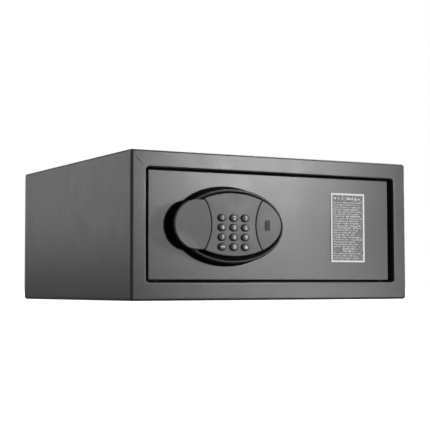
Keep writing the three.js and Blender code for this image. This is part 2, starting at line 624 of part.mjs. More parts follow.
// The arm's lower edge is a rack, with a tooth space over the pinion when the bolts are in. Past the
// pinion it narrows to clear the key cylinder, and ends in the peg that the override cam pushes.
function carriageArm(left) {
  const pitch = Math.PI * gear.module;
  const slope = Math.tan(THREE.MathUtils.degToRad(gear.pressure));
  const tip = carriage.armLow - 2.15 * gear.module;
  const atRoot = pitch / 4 - gear.backlash + slope * 1.25 * gear.module;
  const atTip = pitch / 4 - gear.backlash - slope * 0.9 * gear.module;
  const points = [new THREE.Vector2(left, carriage.armLow)];
  for (let x = gear.x - 1.5 * pitch; x < gear.x + bolt.throw + pitch; x += pitch)
    points.push(
      new THREE.Vector2(x - atRoot, carriage.armLow), new THREE.Vector2(x - atTip, tip),
      new THREE.Vector2(x + atTip, tip), new THREE.Vector2(x + atRoot, carriage.armLow),
    );
  const neck = gear.x + carriage.pastPinion;
  const right = camPeg + carriage.peg + 1;
  const clear = pod.y + cylinder.radius + 1.5;
  points.push(
    new THREE.Vector2(neck, carriage.armLow), new THREE.Vector2(neck, clear),
    new THREE.Vector2(right, clear), new THREE.Vector2(right, carriage.armHigh),
    new THREE.Vector2(left, carriage.armHigh),
  );
  const pegY = (clear + carriage.armHigh) / 2;
  const pegEnd = cylinderRear - 1 - FIT - cam.thickness;
  const peg = rodZ(camPeg, pegY, carriage.peg, pegEnd, armBack + 1, 12);
  return prism(points, armBack, armFront).add(peg);
}

function makeBoltwork() {
  const rows = { lower: boltLow, upper: boltHigh };
  const { radius, length, tail, tailLength } = bolt;
  for (const [name, y] of Object.entries(rows)) {
    const round = turned([
      [0, 0], [radius - 1.5, 0], [radius, 1.5], [radius, length], [tail, length],
      [tail, length + tailLength], [0, length + tailLength],
    ], 24);
    piece("live_bolt_" + name, solid(round.rotateZ(-Math.PI / 2).translate(boltTip, y, boltZ)), steel);
  }
  const [guideLow, guideHigh] = [boltLow - radius - guide.overhang, boltHigh + radius + guide.overhang];
  const guideBack = boltZ - radius;
  const span = [guideLow, guideHigh, guideBack, leafBack - FIT];
  const walls = [guideLeft, guideRight - guide.wall].map((x) => block(x, x + guide.wall, ...span));
  const web = block(guideLeft, guideRight, guideLow, guideHigh, guideBack - guide.wall, guideBack);
  const [bore0, bore1] = [guideLeft - 1, guideRight + 1];
  const bores = Object.values(rows).map((y) => rodX(y, boltZ, radius + RUNNING, bore0, bore1));
  piece("bolt_guide", cut(join(web, ...walls), ...bores), zinc);
  const bar0 = boltTip + length + FIT;
  const bar1 = bar0 + carriage.bar;
  const bar = block(bar0, bar1, boltLow - radius, boltHigh + radius, boltZ - radius + 1, boltZ + radius - 1);
  const tails = Object.values(rows).map((y) => rodX(y, boltZ, tail + FIT, bar0 - 1, bar1 + 1));
  piece("bolt_carriage", cut(join(bar, carriageArm(bar0 + 1)), ...tails), zinc);
  makeMotor();
}

function makeMotor() {
  const [x0, x1] = [gear.x - motor.width / 2, gear.x + motor.width / 2];
  const low = carriage.armLow - motor.below;
  const high = carriage.armLow - motor.above;
  const legs = [x0 + 3.5, x1 - 3.5].map((x) => rodZ(x, low + 4, 3, motorFront - 1, leafBack - FIT, 12));
  piece("gear_motor", join(
    block(x0, x1, low, high, motorBack, motorFront),
    rodY(gear.x, (motorFront + motorBack) / 2, motor.can, tray.low + motor.canFromLiner, low + 1, 24),
    ...legs,
  ), zinc);
  const toothed = prism(pinionOutline(), armBack, armFront);
  const shaft = rodZ(gear.x, pinionY, gear.shaft, motorFront + FIT, armFront + 2, 16);
  piece("drive_pinion", toothed.add(shaft), brass);
}

function makeElectronics() {
  const boardFront = leafBack - board.behindDoor;
  const boardBack = boardFront - board.thickness;
  const posts = [board.left + 4, board.right - 4].flatMap((x) =>
    [board.low + 4, board.high - 4].map((y) => rodZ(x, y, 2.5, boardFront - 0.5, leafBack - FIT, 10)));
  piece("control_board", join(
    block(board.left, board.right, board.low, board.high, boardBack, boardFront),
    block(board.left, board.left + 7, board.high - 26, board.high - 14, boardBack - 7, boardBack + 0.5),
    block(board.left + 20, board.left + 34, board.low + 24, board.low + 38, boardBack - 2, boardBack + 0.5),
    rodZ(board.right - 12, board.high - 14, 6, boardBack - 8, boardBack + 0.5, 20),
    ...posts,
  ), circuit);
  const { wall, slack } = holder;
  const length = cell.length + cell.nubLength;
  const width = cell.count * cell.pitch + 2 * wall;
  const bay = { left: holder.left, right: holder.left + length + slack + 2 * wall };
  bay.low = holder.y - width / 2;
  bay.high = holder.y + width / 2;
  const bayBack = linerFace + lid.rim;
  const floor = bayBack + holder.cavity;
  piece("battery_holder", cut(
    block(bay.left, bay.right, bay.low, bay.high, bayBack, leafBack - FIT),
    block(bay.left + wall, bay.right - wall, bay.low + wall, bay.high - wall, bayBack - 1, floor),
  ), blackPlastic);
  const axisZ = floor - cell.radius - FIT;
  for (let k = 0; k < cell.count; k++) {
    const can = turned([
      [0, 0], [cell.radius, 0], [cell.radius, cell.length],
      [cell.nub, cell.length], [cell.nub, length], [0, length],
    ], 20);
    const y = bay.low + wall + (k + 0.5) * cell.pitch;
    const flip = k % 2 ? -1 : 1;
    const start = flip > 0 ? bay.left + wall + slack / 2 : bay.right - wall - slack / 2;
    can.rotateZ((-flip * Math.PI) / 2).translate(start, y, axisZ);
    piece("battery_cell_" + (k + 1), solid(can), cellWrap);
  }
  makeLiner(bay);
}

// The sheet-metal tray that covers the boltwork, its screws, and the lid over the cells.
function makeLiner(bay) {
  const outline = (out) => grown(tray, out, liner.corner);
  const face = linerFace - liner.sheet;
  const shell = cut(
    prism(outline(0), face, leafBack - FIT),
    prism(outline(-liner.sheet), linerFace, leafBack + 1),
  );
  const bores = [boltLow, boltHigh].map((y) =>
    rodX(y, boltZ, bolt.radius + 1, tray.left - 1, tray.left + liner.sheet + 1));
  const screwHoles = studPlaces.map(([x, y]) => rodZ(x, y, screw.shank + 0.5, face - 1, linerFace + 1, 12));
  const window = block(bay.left, bay.right, bay.low, bay.high, face - 1, linerFace + 1);
  piece("door_liner", cut(shell, ...bores, ...screwHoles, window), paint);
  studPlaces.forEach(([x, y], i) => {
    piece("liner_screw_" + (i + 1), screwSolid(x, y, face - FIT, linerFace + studs.thread - 4), zinc);
  });
  makeLid(bay, face - FIT);
}

// The lid lies on the liner, and its rim drops into the liner's window.
function makeLid(bay, under) {
  const walls = (out) => [bay.left - out, bay.right + out, bay.low - out, bay.high + out];
  const top = under - lid.thickness;
  const rim = cut(
    block(...walls(-RUNNING), under - 0.5, under + lid.rim),
    block(...walls(-RUNNING - lid.rimWall), under, under + lid.rim + 1),
  );
  const [x, y] = [(bay.left + bay.right) / 2, bay.high - lid.gripInset];
  const nailSlot = block(x - 12, x + 12, y - 3, y + 3, top - 1, top + lid.thickness / 2);
  piece("battery_lid", cut(join(block(...walls(lid.overlap), top, under), rim), nailSlot), blackPlastic);
}

function makeDoor() {
  piece("door_plate", doorPlate(), paint);
  const [w, h] = [label.width / 2, label.height / 2];
  const x = leaf.right - label.fromHinge;
  const film = block(x - w, x + w, label.y - h, label.y + h, FIT, FIT + label.thickness);
  piece("instruction_label", film, print);
  const pinPast = cabinet.sheet + 2 * FIT + hinge.bracket;
  makeHinge("upper", leaf.high - hinge.endGap - hinge.blockHeight, opening.high - lockY + pinPast);
  makeHinge("lower", leaf.low + hinge.endGap + hinge.blockHeight, opening.low - lockY - pinPast);
}

makeCabinet();
makeDoor();
makeLock();
makeBoltwork();
makeElectronics();

export default safe;
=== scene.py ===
import math

import bmesh
import bpy
import numpy as np
from mathutils import Matrix, Vector


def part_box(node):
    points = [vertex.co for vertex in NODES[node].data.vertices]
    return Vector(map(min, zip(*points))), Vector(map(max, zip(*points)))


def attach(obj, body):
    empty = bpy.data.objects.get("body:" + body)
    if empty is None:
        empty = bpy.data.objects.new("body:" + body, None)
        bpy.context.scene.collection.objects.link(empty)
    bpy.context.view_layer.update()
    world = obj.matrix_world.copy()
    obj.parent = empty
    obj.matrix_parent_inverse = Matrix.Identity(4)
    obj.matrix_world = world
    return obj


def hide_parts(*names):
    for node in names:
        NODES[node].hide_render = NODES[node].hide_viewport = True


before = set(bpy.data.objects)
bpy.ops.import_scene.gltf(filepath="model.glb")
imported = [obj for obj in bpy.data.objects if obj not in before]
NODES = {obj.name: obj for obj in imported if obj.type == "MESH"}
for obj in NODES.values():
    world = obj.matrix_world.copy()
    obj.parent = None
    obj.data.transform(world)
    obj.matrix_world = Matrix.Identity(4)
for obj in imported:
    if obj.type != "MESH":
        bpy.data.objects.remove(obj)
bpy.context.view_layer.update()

# In-room safe: powder-coated steel cabinet, inset door and an oval electronic lock.
# Metres in the row frame: X to the right, Y to the back, Z up. Sizes of the lock, its keys and the cabinet's
# folds are in millimetres, the lock's from its own centre, with x to the right, y up and z out of the door.
MM = 0.001
GAP = 0.3  # air left between neighbouring pieces, in mm


def middle(node):
    """The centre of a node's box."""
    low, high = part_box(node)
    return (low + high) / 2


CYLINDER_X, CYLINDER_Y = 44.0, 0.9  # the emergency lock's place in the lock's own frame
LOCK_X = middle("key_cylinder").x - CYLINDER_X * MM
LOCK_Z = middle("key_cylinder").z - CYLINDER_Y * MM
FACE_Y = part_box("door_plate")[0].y  # the door's outer face
FRONT_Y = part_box("body_shell")[0].y  # the cabinet's front face


def at_lock(x, y, z):
    """Points of the lock's own frame, in mm, as row-frame points in metres."""
    return np.stack(np.broadcast_arrays(LOCK_X + x * MM, FACE_Y - z * MM, LOCK_Z + y * MM), axis=-1)


def at_front(x, y, z):
    """Points measured in mm from the middle of the cabinet's front edge, z out of the front, in metres."""
    return np.stack(np.broadcast_arrays(x * MM, FRONT_Y - z * MM, y * MM), axis=-1)


# ---------------------------------------------------------------- meshes
def grid_quads(rows, columns, wrap_rows=False):
    """Quads of a grid whose last column joins its first; its last row joins its first if wrap_rows is set."""
    i = np.arange(rows if wrap_rows else rows - 1)[:, None]
    j = np.arange(columns)[None, :]
    below = i * columns
    above = ((i + 1) % rows) * columns
    right = (j + 1) % columns
    return np.stack([below + j, below + right, above + right, above + j], axis=-1).reshape(-1, 4)


def mesh_of(name, points, faces):
    """A mesh from points, an N x 3 array, and faces, a list of arrays whose rows are faces."""
    mesh = bpy.data.meshes.new(name)
    rows = [row for block in faces for row in np.asarray(block).tolist()]
    mesh.from_pydata(np.asarray(points, float).reshape(-1, 3).tolist(), [], rows)
    mesh.update()
    return mesh


def coordinates(mesh):
    """The mesh's points as an N x 3 array."""
    points = np.empty(3 * len(mesh.vertices), np.float32)
    mesh.vertices.foreach_get("co", points)
    return points.reshape(-1, 3)


def shown(name, data):
    """An object at the origin that holds the mesh or curve."""
    made = bpy.data.objects.new(name, data)
    bpy.context.scene.collection.objects.link(made)
    return made


def shell(rings, wrap=False):
    """Points and faces of a closed surface through rings of equal point count, an array rows x columns x 3.
    A wrapped one closes on itself; any other is capped by a fan at its first ring and at its last one."""
    rows, columns, _ = rings.shape
    points = rings.reshape(-1, 3)
    faces = [grid_quads(rows, columns, wrap)]
    if not wrap:
        ends = np.stack([rings[0].mean(0), rings[-1].mean(0)])
        points = np.concatenate([points, ends])
        j = np.arange(columns)
        right = (j + 1) % columns
        last = (rows - 1) * columns
        first_pole = rows * columns
        faces.append(np.stack([right, j, np.full(columns, first_pole)], axis=-1))
        faces.append(np.stack([last + j, last + right, np.full(columns, first_pole + 1)], axis=-1))
    return points, faces


def joined(*shells):
    """Several shells as the points and faces of one mesh."""
    points, faces, start = [], [], 0
    for some_points, some_faces in shells:
        points.append(some_points)
        faces += [np.asarray(block) + start for block in some_faces]
        start += len(some_points)
    return np.concatenate(points), faces


def boxes(low, high):
    """Closed boxes as one mesh: low and high are N x 3 arrays of corners, low below high on each axis."""
    base = [[0, 0, 0], [1, 0, 0], [1, 1, 0], [0, 1, 0]]
    corner = np.array(base + [[x, y, 1] for x, y, _ in base])
    side = np.array([[0, 3, 2, 1], [4, 5, 6, 7], [0, 1, 5, 4], [1, 2, 6, 5], [2, 3, 7, 6], [3, 0, 4, 7]])
    low = np.asarray(low, float)[:, None, :]
    high = np.asarray(high, float)[:, None, :]
    points = low + (high - low) * corner[None]
    faces = side[None] + 8 * np.arange(len(points))[:, None, None]
    return points.reshape(-1, 3), [faces.reshape(-1, 4)]


def turn(count):
    """Angles of a full turn, count of them."""
    return np.linspace(0, 2 * np.pi, count, endpoint=False)


def rod(start, end, radius):
    """A cylinder from start to end, two points in metres: circles r(u cos t + w sin t) round its axis."""
    start = np.array(start, float)
    end = np.array(end, float)
    axis = (end - start) / np.linalg.norm(end - start)
    other = np.cross(axis, [0.0, 0.0, 1.0] if abs(axis[2]) < 0.9 else [1.0, 0.0, 0.0])
    other /= np.linalg.norm(other)
    t = turn(48)[:, None]
    circle = radius * (np.cos(t) * other + np.sin(t) * np.cross(axis, other))
    return shell(np.stack([start + circle, end + circle]))


def outward(obj):
    """Closes slits in a new mesh, and turns every closed part of it so that its faces point out."""
    work = bmesh.new()
    work.from_mesh(obj.data)
    bmesh.ops.remove_doubles(work, verts=work.verts, dist=1e-7)
    bmesh.ops.holes_fill(work, edges=[edge for edge in work.edges if edge.is_boundary])
    bmesh.ops.recalc_face_normals(work, faces=work.faces)
    work.to_mesh(obj.data)
    work.free()
    return obj


def worked_out(obj):
    """A new mesh of the object as it stands with its modifiers on."""
    bpy.context.view_layer.update()
    return bpy.data.meshes.new_from_object(obj.evaluated_get(bpy.context.evaluated_depsgraph_get()))


def carved(obj, cutter, operation="DIFFERENCE"):
    """Takes the cutter, a pair of points and faces, out of obj, or joins it on where operation is UNION."""
    tool = shown("cutter", mesh_of("cutter", *cutter))
    change = obj.modifiers.new("Cut", "BOOLEAN")
    change.operation = operation
    change.solver = "EXACT"
    change.object = tool
    done = worked_out(obj)
    obj.modifiers.clear()
    before = obj.data
    obj.data = done
    bpy.data.meshes.remove(before)
    bpy.data.objects.remove(tool)
    return obj


def rounded(obj, width, limit=40.0):
    """Rounds edges sharper than limit degrees by width, in mm, and keeps flat faces flat in the shading."""
    if width:
        bevel = obj.modifiers.new("Rounding", "BEVEL")
        bevel.width = width * MM
        bevel.segments = 2
        bevel.limit_method = "ANGLE"
        bevel.angle_limit = math.radians(limit)
        bevel.use_clamp_overlap = True
    obj.data.shade_smooth()
    obj.data.set_sharp_from_angle(angle=math.radians(limit))
    normals = obj.modifiers.new("Normals", "WEIGHTED_NORMAL")
    normals.keep_sharp = True
    normals.weight = 100
    return obj


def finished(obj, material, body, replaces=()):
    """Gives a piece its material, its body and the CAD nodes that it stands for."""
    obj.data.materials.clear()
    obj.data.materials.append(material)
    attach(obj, body)
    if replaces:
        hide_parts(*replaces)
    return obj


# ---------------------------------------------------------------- outlines, as arrays of angles
def rounded_rect(x0, x1, y0, y1, radius, steps=10):
    """A rectangle with round corners, anticlockwise: four quarter circles of steps + 1 points each."""
    quarter = np.linspace(0, np.pi / 2, steps + 1)
    angle = (np.array([-1, 0, 1, 2]) * np.pi / 2)[:, None] + quarter
    cx = np.array([x1 - radius, x1 - radius, x0 + radius, x0 + radius])[:, None]
    cy = np.array([y0 + radius, y1 - radius, y1 - radius, y0 + radius])[:, None]
    return (cx + radius * np.cos(angle)).ravel(), (cy + radius * np.sin(angle)).ravel()


def to_ellipse(angle, x, y, cx, cy, a, b):
    """Distance from (x, y) along each angle to the ellipse about (cx, cy), seen from inside it."""
    dx, dy = np.cos(angle), np.sin(angle)
    px, py = x - cx, y - cy
    qa = (dx / a) ** 2 + (dy / b) ** 2
    qb = px * dx / a**2 + py * dy / b**2
    qc = (px / a) ** 2 + (py / b) ** 2 - 1
    return (-qb + np.sqrt(qb**2 - qa * qc)) / qa


def to_disc_outside(angle, x, y, cx, cy, r):
    """Distance from (x, y) along each angle to a disc about (cx, cy), seen from outside it. It is infinite
    where the disc is missed."""
    dx, dy = np.cos(angle), np.sin(angle)
    px, py = x - cx, y - cy
    along = px * dx + py * dy
    inside = along**2 - (px**2 + py**2 - r**2)
    near = -along - np.sqrt(np.maximum(inside, 0))
    return np.where((inside > 0) & (near > 0), near, np.inf)


def quarter_round(radius, steps):
    """Inset and drop of a quarter-round edge, from its foot to its top: radius(1 - cos t) and
    radius(1 - sin t)."""
    t = np.linspace(0, np.pi / 2, steps)
    return radius * (1 - np.cos(t)), radius * (1 - np.sin(t))


# ---------------------------------------------------------------- materials
def sockets(name, base, roughness, metallic=0.0, coat=0.0, specular=0.5, sheen=0.0):
    """A Principled material; what is even over the surface is set on the shader itself."""
    made = bpy.data.materials.new(name)
    made.use_nodes = True
    tree = made.node_tree
    shader = tree.nodes["Principled BSDF"]
    shader.inputs["Base Color"].default_value = (*base, 1)
    shader.inputs["Roughness"].default_value = roughness
    shader.inputs["Metallic"].default_value = metallic
    shader.inputs["Coat Weight"].default_value = coat
    shader.inputs["Coat Roughness"].default_value = 0.1
    shader.inputs["Specular IOR Level"].default_value = specular
    shader.inputs["Sheen Weight"].default_value = sheen
    return made, tree, shader


def add(tree, kind, **values):
    """A node with the named inputs or settings set."""
    node = tree.nodes.new(kind)
    for key, value in values.items():
        if key in node.inputs:
            node.inputs[key].default_value = value
        else:
            setattr(node, key, value)
    return node


def set_inputs(node, values):
    """Sets a node's inputs whose names hold spaces."""
    for key, value in values.items():
        node.inputs[key].default_value = value


def object_noise(tree, size, detail=2.0, stretch=(1, 1, 1), rough=0.5):
    """Noise on object coordinates with features about size mm across, drawn out by stretch."""
    place = add(tree, "ShaderNodeTexCoord")
    scaled = add(tree, "ShaderNodeMapping", Scale=tuple(1 / s for s in stretch))
    noise = add(tree, "ShaderNodeTexNoise", Scale=1 / (size * MM), Detail=detail, Roughness=rough)
    tree.links.new(place.outputs["Object"], scaled.inputs["Vector"])
    tree.links.new(scaled.outputs["Vector"], noise.inputs["Vector"])
    return noise.outputs["Fac"]


def blended(tree, factor, low, high):
    """A colour that runs from low to high with the factor, with its contrast stretched."""
    ramp = add(tree, "ShaderNodeValToRGB")
    start, end = ramp.color_ramp.elements
    start.position = 0.3
    start.color = (*low, 1)
    end.position = 0.7
    end.color = (*high, 1)
    tree.links.new(factor, ramp.inputs["Fac"])
    return ramp.outputs["Color"]


def ranged(tree, factor, low, high):
    """The factor's middle range carried to low..high."""
    mapped = add(tree, "ShaderNodeMapRange")
    set_inputs(mapped, {"From Min": 0.3, "From Max": 0.7, "To Min": low, "To Max": high})
    tree.links.new(factor, mapped.inputs["Value"])
    return mapped.outputs["Result"]


def bump(tree, shader, height, depth, strength=1.0, under=None):
    """Bumps of the given depth in mm from a height factor, laid over the bumps under them."""
    node = add(tree, "ShaderNodeBump", Strength=strength, Distance=depth * MM)
    tree.links.new(height, node.inputs["Height"])
    if under is not None:
        tree.links.new(under, node.inputs["Normal"])
    tree.links.new(node.outputs["Normal"], shader.inputs["Normal"])
    return node.outputs["Normal"]


def shaded(base, factor):
    """The colour made darker or lighter by the factor."""
    return tuple(c * factor for c in base)


def powder_coat():
    """Semi-gloss powder paint: orange peel of two sizes and a faint mottle."""
    base = (0.041, 0.0405, 0.042)
    made, tree, shader = sockets("powder_coat", base, 0.3, specular=0.5)
    peel = object_noise(tree, 2.0, detail=1.5)
    grain = object_noise(tree, 0.9, detail=2)
    tree.links.new(blended(tree, grain, shaded(base, 0.86), shaded(base, 1.14)), shader.inputs["Base Color"])
    tree.links.new(ranged(tree, object_noise(tree, 30), 0.28, 0.32), shader.inputs["Roughness"])
    bump(tree, shader, grain, 0.05, 0.7, under=bump(tree, shader, peel, 0.13, 0.8))
    return made


def moulded(name, base, roughness, grain=0.5, depth=0.02, **more):
    """Moulded plastic: fine grain, and slow changes of gloss."""
    made, tree, shader = sockets(name, base, roughness, **more)
    fine = object_noise(tree, grain, detail=3)
    tree.links.new(blended(tree, fine, shaded(base, 0.93), shaded(base, 1.07)), shader.inputs["Base Color"])
    slow = object_noise(tree, 14)
    tree.links.new(ranged(tree, slow, roughness * 0.95, roughness * 1.05), shader.inputs["Roughness"])
    bump(tree, shader, fine, depth, 0.6)
    return made


def brushed(name, base, roughness, stretch):
    """Metal with fine drawn lines: noise stretched along the direction of the work."""
    made, tree, shader = sockets(name, base, roughness, metallic=1.0)
    lines = object_noise(tree, 0.25, detail=3, stretch=stretch)
    tree.links.new(blended(tree, lines, shaded(base, 0.86), shaded(base, 1.05)), shader.inputs["Base Color"])
    tree.links.new(ranged(tree, lines, roughness * 0.8, roughness * 1.25), shader.inputs["Roughness"])
    bump(tree, shader, lines, 0.01, 0.5)
    return made


def zinc_plate():
    """Bright zinc: soft spangle of crystal patches, each with its own gloss."""
    base = (0.52, 0.53, 0.55)
    made, tree, shader = sockets("zinc_plated", base, 0.36, metallic=1.0)
    place = add(tree, "ShaderNodeTexCoord")
    cells = add(tree, "ShaderNodeTexVoronoi", Scale=1 / (3.5 * MM))
    tree.links.new(place.outputs["Object"], cells.inputs["Vector"])
    patch = add(tree, "ShaderNodeSeparateColor")
    tree.links.new(cells.outputs["Color"], patch.inputs["Color"])
    tree.links.new(ranged(tree, patch.outputs["Red"], 0.3, 0.42), shader.inputs["Roughness"])
    tint = blended(tree, patch.outputs["Green"], shaded(base, 0.9), shaded(base, 1.06))
    tree.links.new(tint, shader.inputs["Base Color"])
    bump(tree, shader, object_noise(tree, 0.6), 0.02, 0.4)
    return made


def felt():
    """Needled felt: crossing fibres, drawn out two ways, over soft tufts."""
    base = (0.022, 0.023, 0.026)
    made, tree, shader = sockets("felt", base, 1.0, specular=0.1, sheen=0.25)
    across = object_noise(tree, 0.5, detail=4, stretch=(7, 1, 1))
    along = object_noise(tree, 0.5, detail=4, stretch=(1, 7, 1))
    tuft = object_noise(tree, 3.5, detail=3)
    tree.links.new(blended(tree, across, shaded(base, 0.5), shaded(base, 1.9)), shader.inputs["Base Color"])
    lower = bump(tree, shader, tuft, 0.5, 0.7)
    lower = bump(tree, shader, along, 0.3, 0.8, under=lower)
    bump(tree, shader, across, 0.3, 0.8, under=lower)
    return made


def circuit_board():
    """Green solder mask with the copper tracks showing faintly as a grid of cells."""
    base = (0.012, 0.075, 0.03)
    made, tree, shader = sockets("circuit_board", base, 0.35, coat=0.3)
    place = add(tree, "ShaderNodeTexCoord")
    tracks = add(tree, "ShaderNodeTexVoronoi", Scale=1 / (3 * MM), distance="MANHATTAN", feature="F1")
    tree.links.new(place.outputs["Object"], tracks.inputs["Vector"])
    tint = blended(tree, tracks.outputs["Distance"], (0.03, 0.16, 0.06), base)
    tree.links.new(tint, shader.inputs["Base Color"])
    bump(tree, shader, tracks.outputs["Distance"], 0.04, 0.5)
    return made


def lens_plastic():
    """Smoked window plastic with a satin face, and a slow change of gloss as from handling."""
    made, tree, shader = sockets("smoked_plastic", (0.052, 0.052, 0.054), 0.4, specular=0.4)
    tree.links.new(ranged(tree, object_noise(tree, 12, detail=3), 0.385, 0.415), shader.inputs["Roughness"])
    bump(tree, shader, object_noise(tree, 6, detail=1), 0.02, 0.2)
    return made


def printed_film():
    """Grey label film: a coarse screen of lighter and darker specks under the print."""
    base = (0.165, 0.168, 0.175)
    made, tree, shader = sockets("label_film", base, 0.5, specular=0.4)
    specks = object_noise(tree, 1.1, detail=3, rough=0.7)
    screen = ranged(tree, specks, -0.8, 1.8)
    tree.links.new(blended(tree, screen, shaded(base, 0.3), shaded(base, 1.9)), shader.inputs["Base Color"])
    tree.links.new(ranged(tree, specks, 0.42, 0.56), shader.inputs["Roughness"])
    bump(tree, shader, specks, 0.015, 0.4)
    return made


def cell_wrap():
    """A printed sleeve: two colours that change along the cell, under a clear film."""
    blue = (0.03, 0.13, 0.28)
    silver = (0.5, 0.48, 0.44)
    made, tree, shader = sockets("cell_wrap", blue, 0.3, coat=0.5)
    place = add(tree, "ShaderNodeTexCoord")
    along = add(tree, "ShaderNodeSeparateXYZ")
    tree.links.new(place.outputs["Object"], along.inputs["Vector"])
    middle_x = middle("battery_cell_1").x
    band = add(tree, "ShaderNodeMapRange")
    set_inputs(band, {"From Min": middle_x + 0.0095, "From Max": middle_x + 0.0100})
    tree.links.new(along.outputs["X"], band.inputs["Value"])
    sleeve = add(tree, "ShaderNodeMix", data_type="RGBA")
    set_inputs(sleeve, {"A": (*blue, 1), "B": (*silver, 1)})
    tree.links.new(band.outputs["Result"], sleeve.inputs["Factor"])
    tree.links.new(sleeve.outputs["Result"], shader.inputs["Base Color"])
    bump(tree, shader, object_noise(tree, 1.5), 0.02, 0.3)
    return made


PAINT = powder_coat()
ZINC = zinc_plate()
STEEL = brushed("bright_steel", (0.58, 0.58, 0.6), 0.25, stretch=(1, 8, 8))
BRASS = brushed("brass", (0.5, 0.37, 0.15), 0.28, stretch=(6, 1, 6))
FELT = felt()
RUBBER = moulded("rubber", (0.012, 0.012, 0.012), 0.75, grain=0.6, depth=0.04, specular=0.3)
BLACK = moulded("black_plastic", (0.0045, 0.0045, 0.005), 0.75, grain=0.6, depth=0.02, specular=0.04)
# The rim is the same black plastic as the lock's base, made glossier. Its lighter colour is painted
# highlight, standing for the light that its top catches.
BEAD_PAINTED_HIGHLIGHT = moulded("bead_plastic", (0.025, 0.0245, 0.026), 0.38, grain=0.6, depth=0.015, specular=0.35)
SILK = moulded("grey_plastic", (0.062, 0.06, 0.063), 0.42, grain=0.7, depth=0.03)
LENS = lens_plastic()
KEY = moulded("key_plastic", (0.05, 0.05, 0.053), 0.42, grain=0.5, depth=0.01, specular=0.4)
INK = moulded("white_ink", (0.86, 0.86, 0.85), 0.5, grain=0.4, depth=0.01)
FILM = printed_film()
# Near black as painted shade: this colour on the door stops stands for the shadow deep in the gap round the
# door.
GAP_SHADE_BLACK = moulded("black_primer", (0.006, 0.006, 0.006), 0.85, grain=1.2, depth=0.03, specular=0.1)
PIN = brushed("blackened_steel", (0.03, 0.03, 0.032), 0.5, stretch=(8, 8, 1))
BOARD = circuit_board()
WRAP = cell_wrap()

# ---------------------------------------------------------------- cabinet
cabinet_low, cabinet_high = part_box("body_shell")
WIDTH = (cabinet_high.x - cabinet_low.x) / MM
DEPTH = (cabinet_high.y - cabinet_low.y) / MM
HEIGHT = (cabinet_high.z - cabinet_low.z) / MM
SHEET, CORNER, BEND = 2.0, 4.0, 3.0
BORDER_SIDE, BORDER_TOP, BORDER_BOTTOM = 21.5, 22.5, 24.0
MOUTH, MOUTH_CORNER, JAMB = 2.0, 4.0, 32.0
OPENING = (-WIDTH / 2 + BORDER_SIDE, WIDTH / 2 - BORDER_SIDE, BORDER_BOTTOM, HEIGHT - BORDER_TOP)
BOLT_HOLE, PIN_HOLE, ANCHOR_HOLE, MAT_HOLE = 0.0095, 0.0044, 0.0065, 0.0067  # radii in metres
ANCHORS = [(-0.15, 0.036), (0.15, 0.036)]  # x and y of the floor's anchor holes, in metres


def frame_ring(sides, out, corner, depth):
    """One ring round the cabinet: sides (left, right, low, high) grown by out, with its corners grown too."""
    left, right, low, high = sides
    x, y = rounded_rect(left - out, right + out, low - out, high + out, max(corner + out, 0.4))
    return at_front(x, y, depth)


def cabinet_shell():
    """Roof, floor, sides, front border and jamb as one folded sheet: a closed profile carried round the
    opening. The bend is BEND(1 - cos t) in and BEND(1 - sin t) back, and the mouth is the same with MOUTH."""
    outside = (-WIDTH / 2, WIDTH / 2, 0.0, HEIGHT)
    back = -DEPTH
    rings = [frame_ring(outside, 0, CORNER, z) for z in (back, back + 40, -40, -BEND - 3)]
    for inset, drop in zip(*quarter_round(BEND, 8)):
        rings.append(frame_ring(outside, -inset, CORNER, -drop))
    rings.append(frame_ring(outside, -BEND - 2, CORNER, 0))
    rings.append(frame_ring(OPENING, MOUTH + 2, MOUTH_CORNER, 0))
    for inset, drop in list(zip(*quarter_round(MOUTH, 7)))[::-1]:
        rings.append(frame_ring(OPENING, inset, MOUTH_CORNER, -drop))
    rings += [
        frame_ring(OPENING, 0, MOUTH_CORNER, -MOUTH - 1.5),
        frame_ring(OPENING, 0, MOUTH_CORNER, -JAMB),
        frame_ring(OPENING, SHEET, MOUTH_CORNER, -JAMB),
        frame_ring(OPENING, SHEET, MOUTH_CORNER, -SHEET),
        frame_ring(outside, -SHEET, CORNER, -SHEET),
        frame_ring(outside, -SHEET, CORNER, back),
    ]
    made = shown("cabinet_shell", mesh_of("cabinet_shell", *shell(np.stack(rings), wrap=True)))
    holes = []
    for bolt in ("live_bolt_lower", "live_bolt_upper"):
        at = middle(bolt)
        left = OPENING[0] * MM
        holes.append(rod((left - 0.004, at.y, at.z), (left + 0.002, at.y, at.z), BOLT_HOLE))
    for pin, z in (("hinge_pin_upper", OPENING[3]), ("hinge_pin_lower", OPENING[2] - SHEET)):
        at = middle(pin)
        holes.append(rod((at.x, at.y, (z - 1) * MM), (at.x, at.y, (z + SHEET + 1) * MM), PIN_HOLE))
    for x, y in ANCHORS:
        holes.append(rod((x, y, -0.001), (x, y, 0.0035), ANCHOR_HOLE))
    carved(made, joined(*holes))
    rounded(made, 0.35)
    return finished(made, PAINT, "cabinet", ["body_shell"])


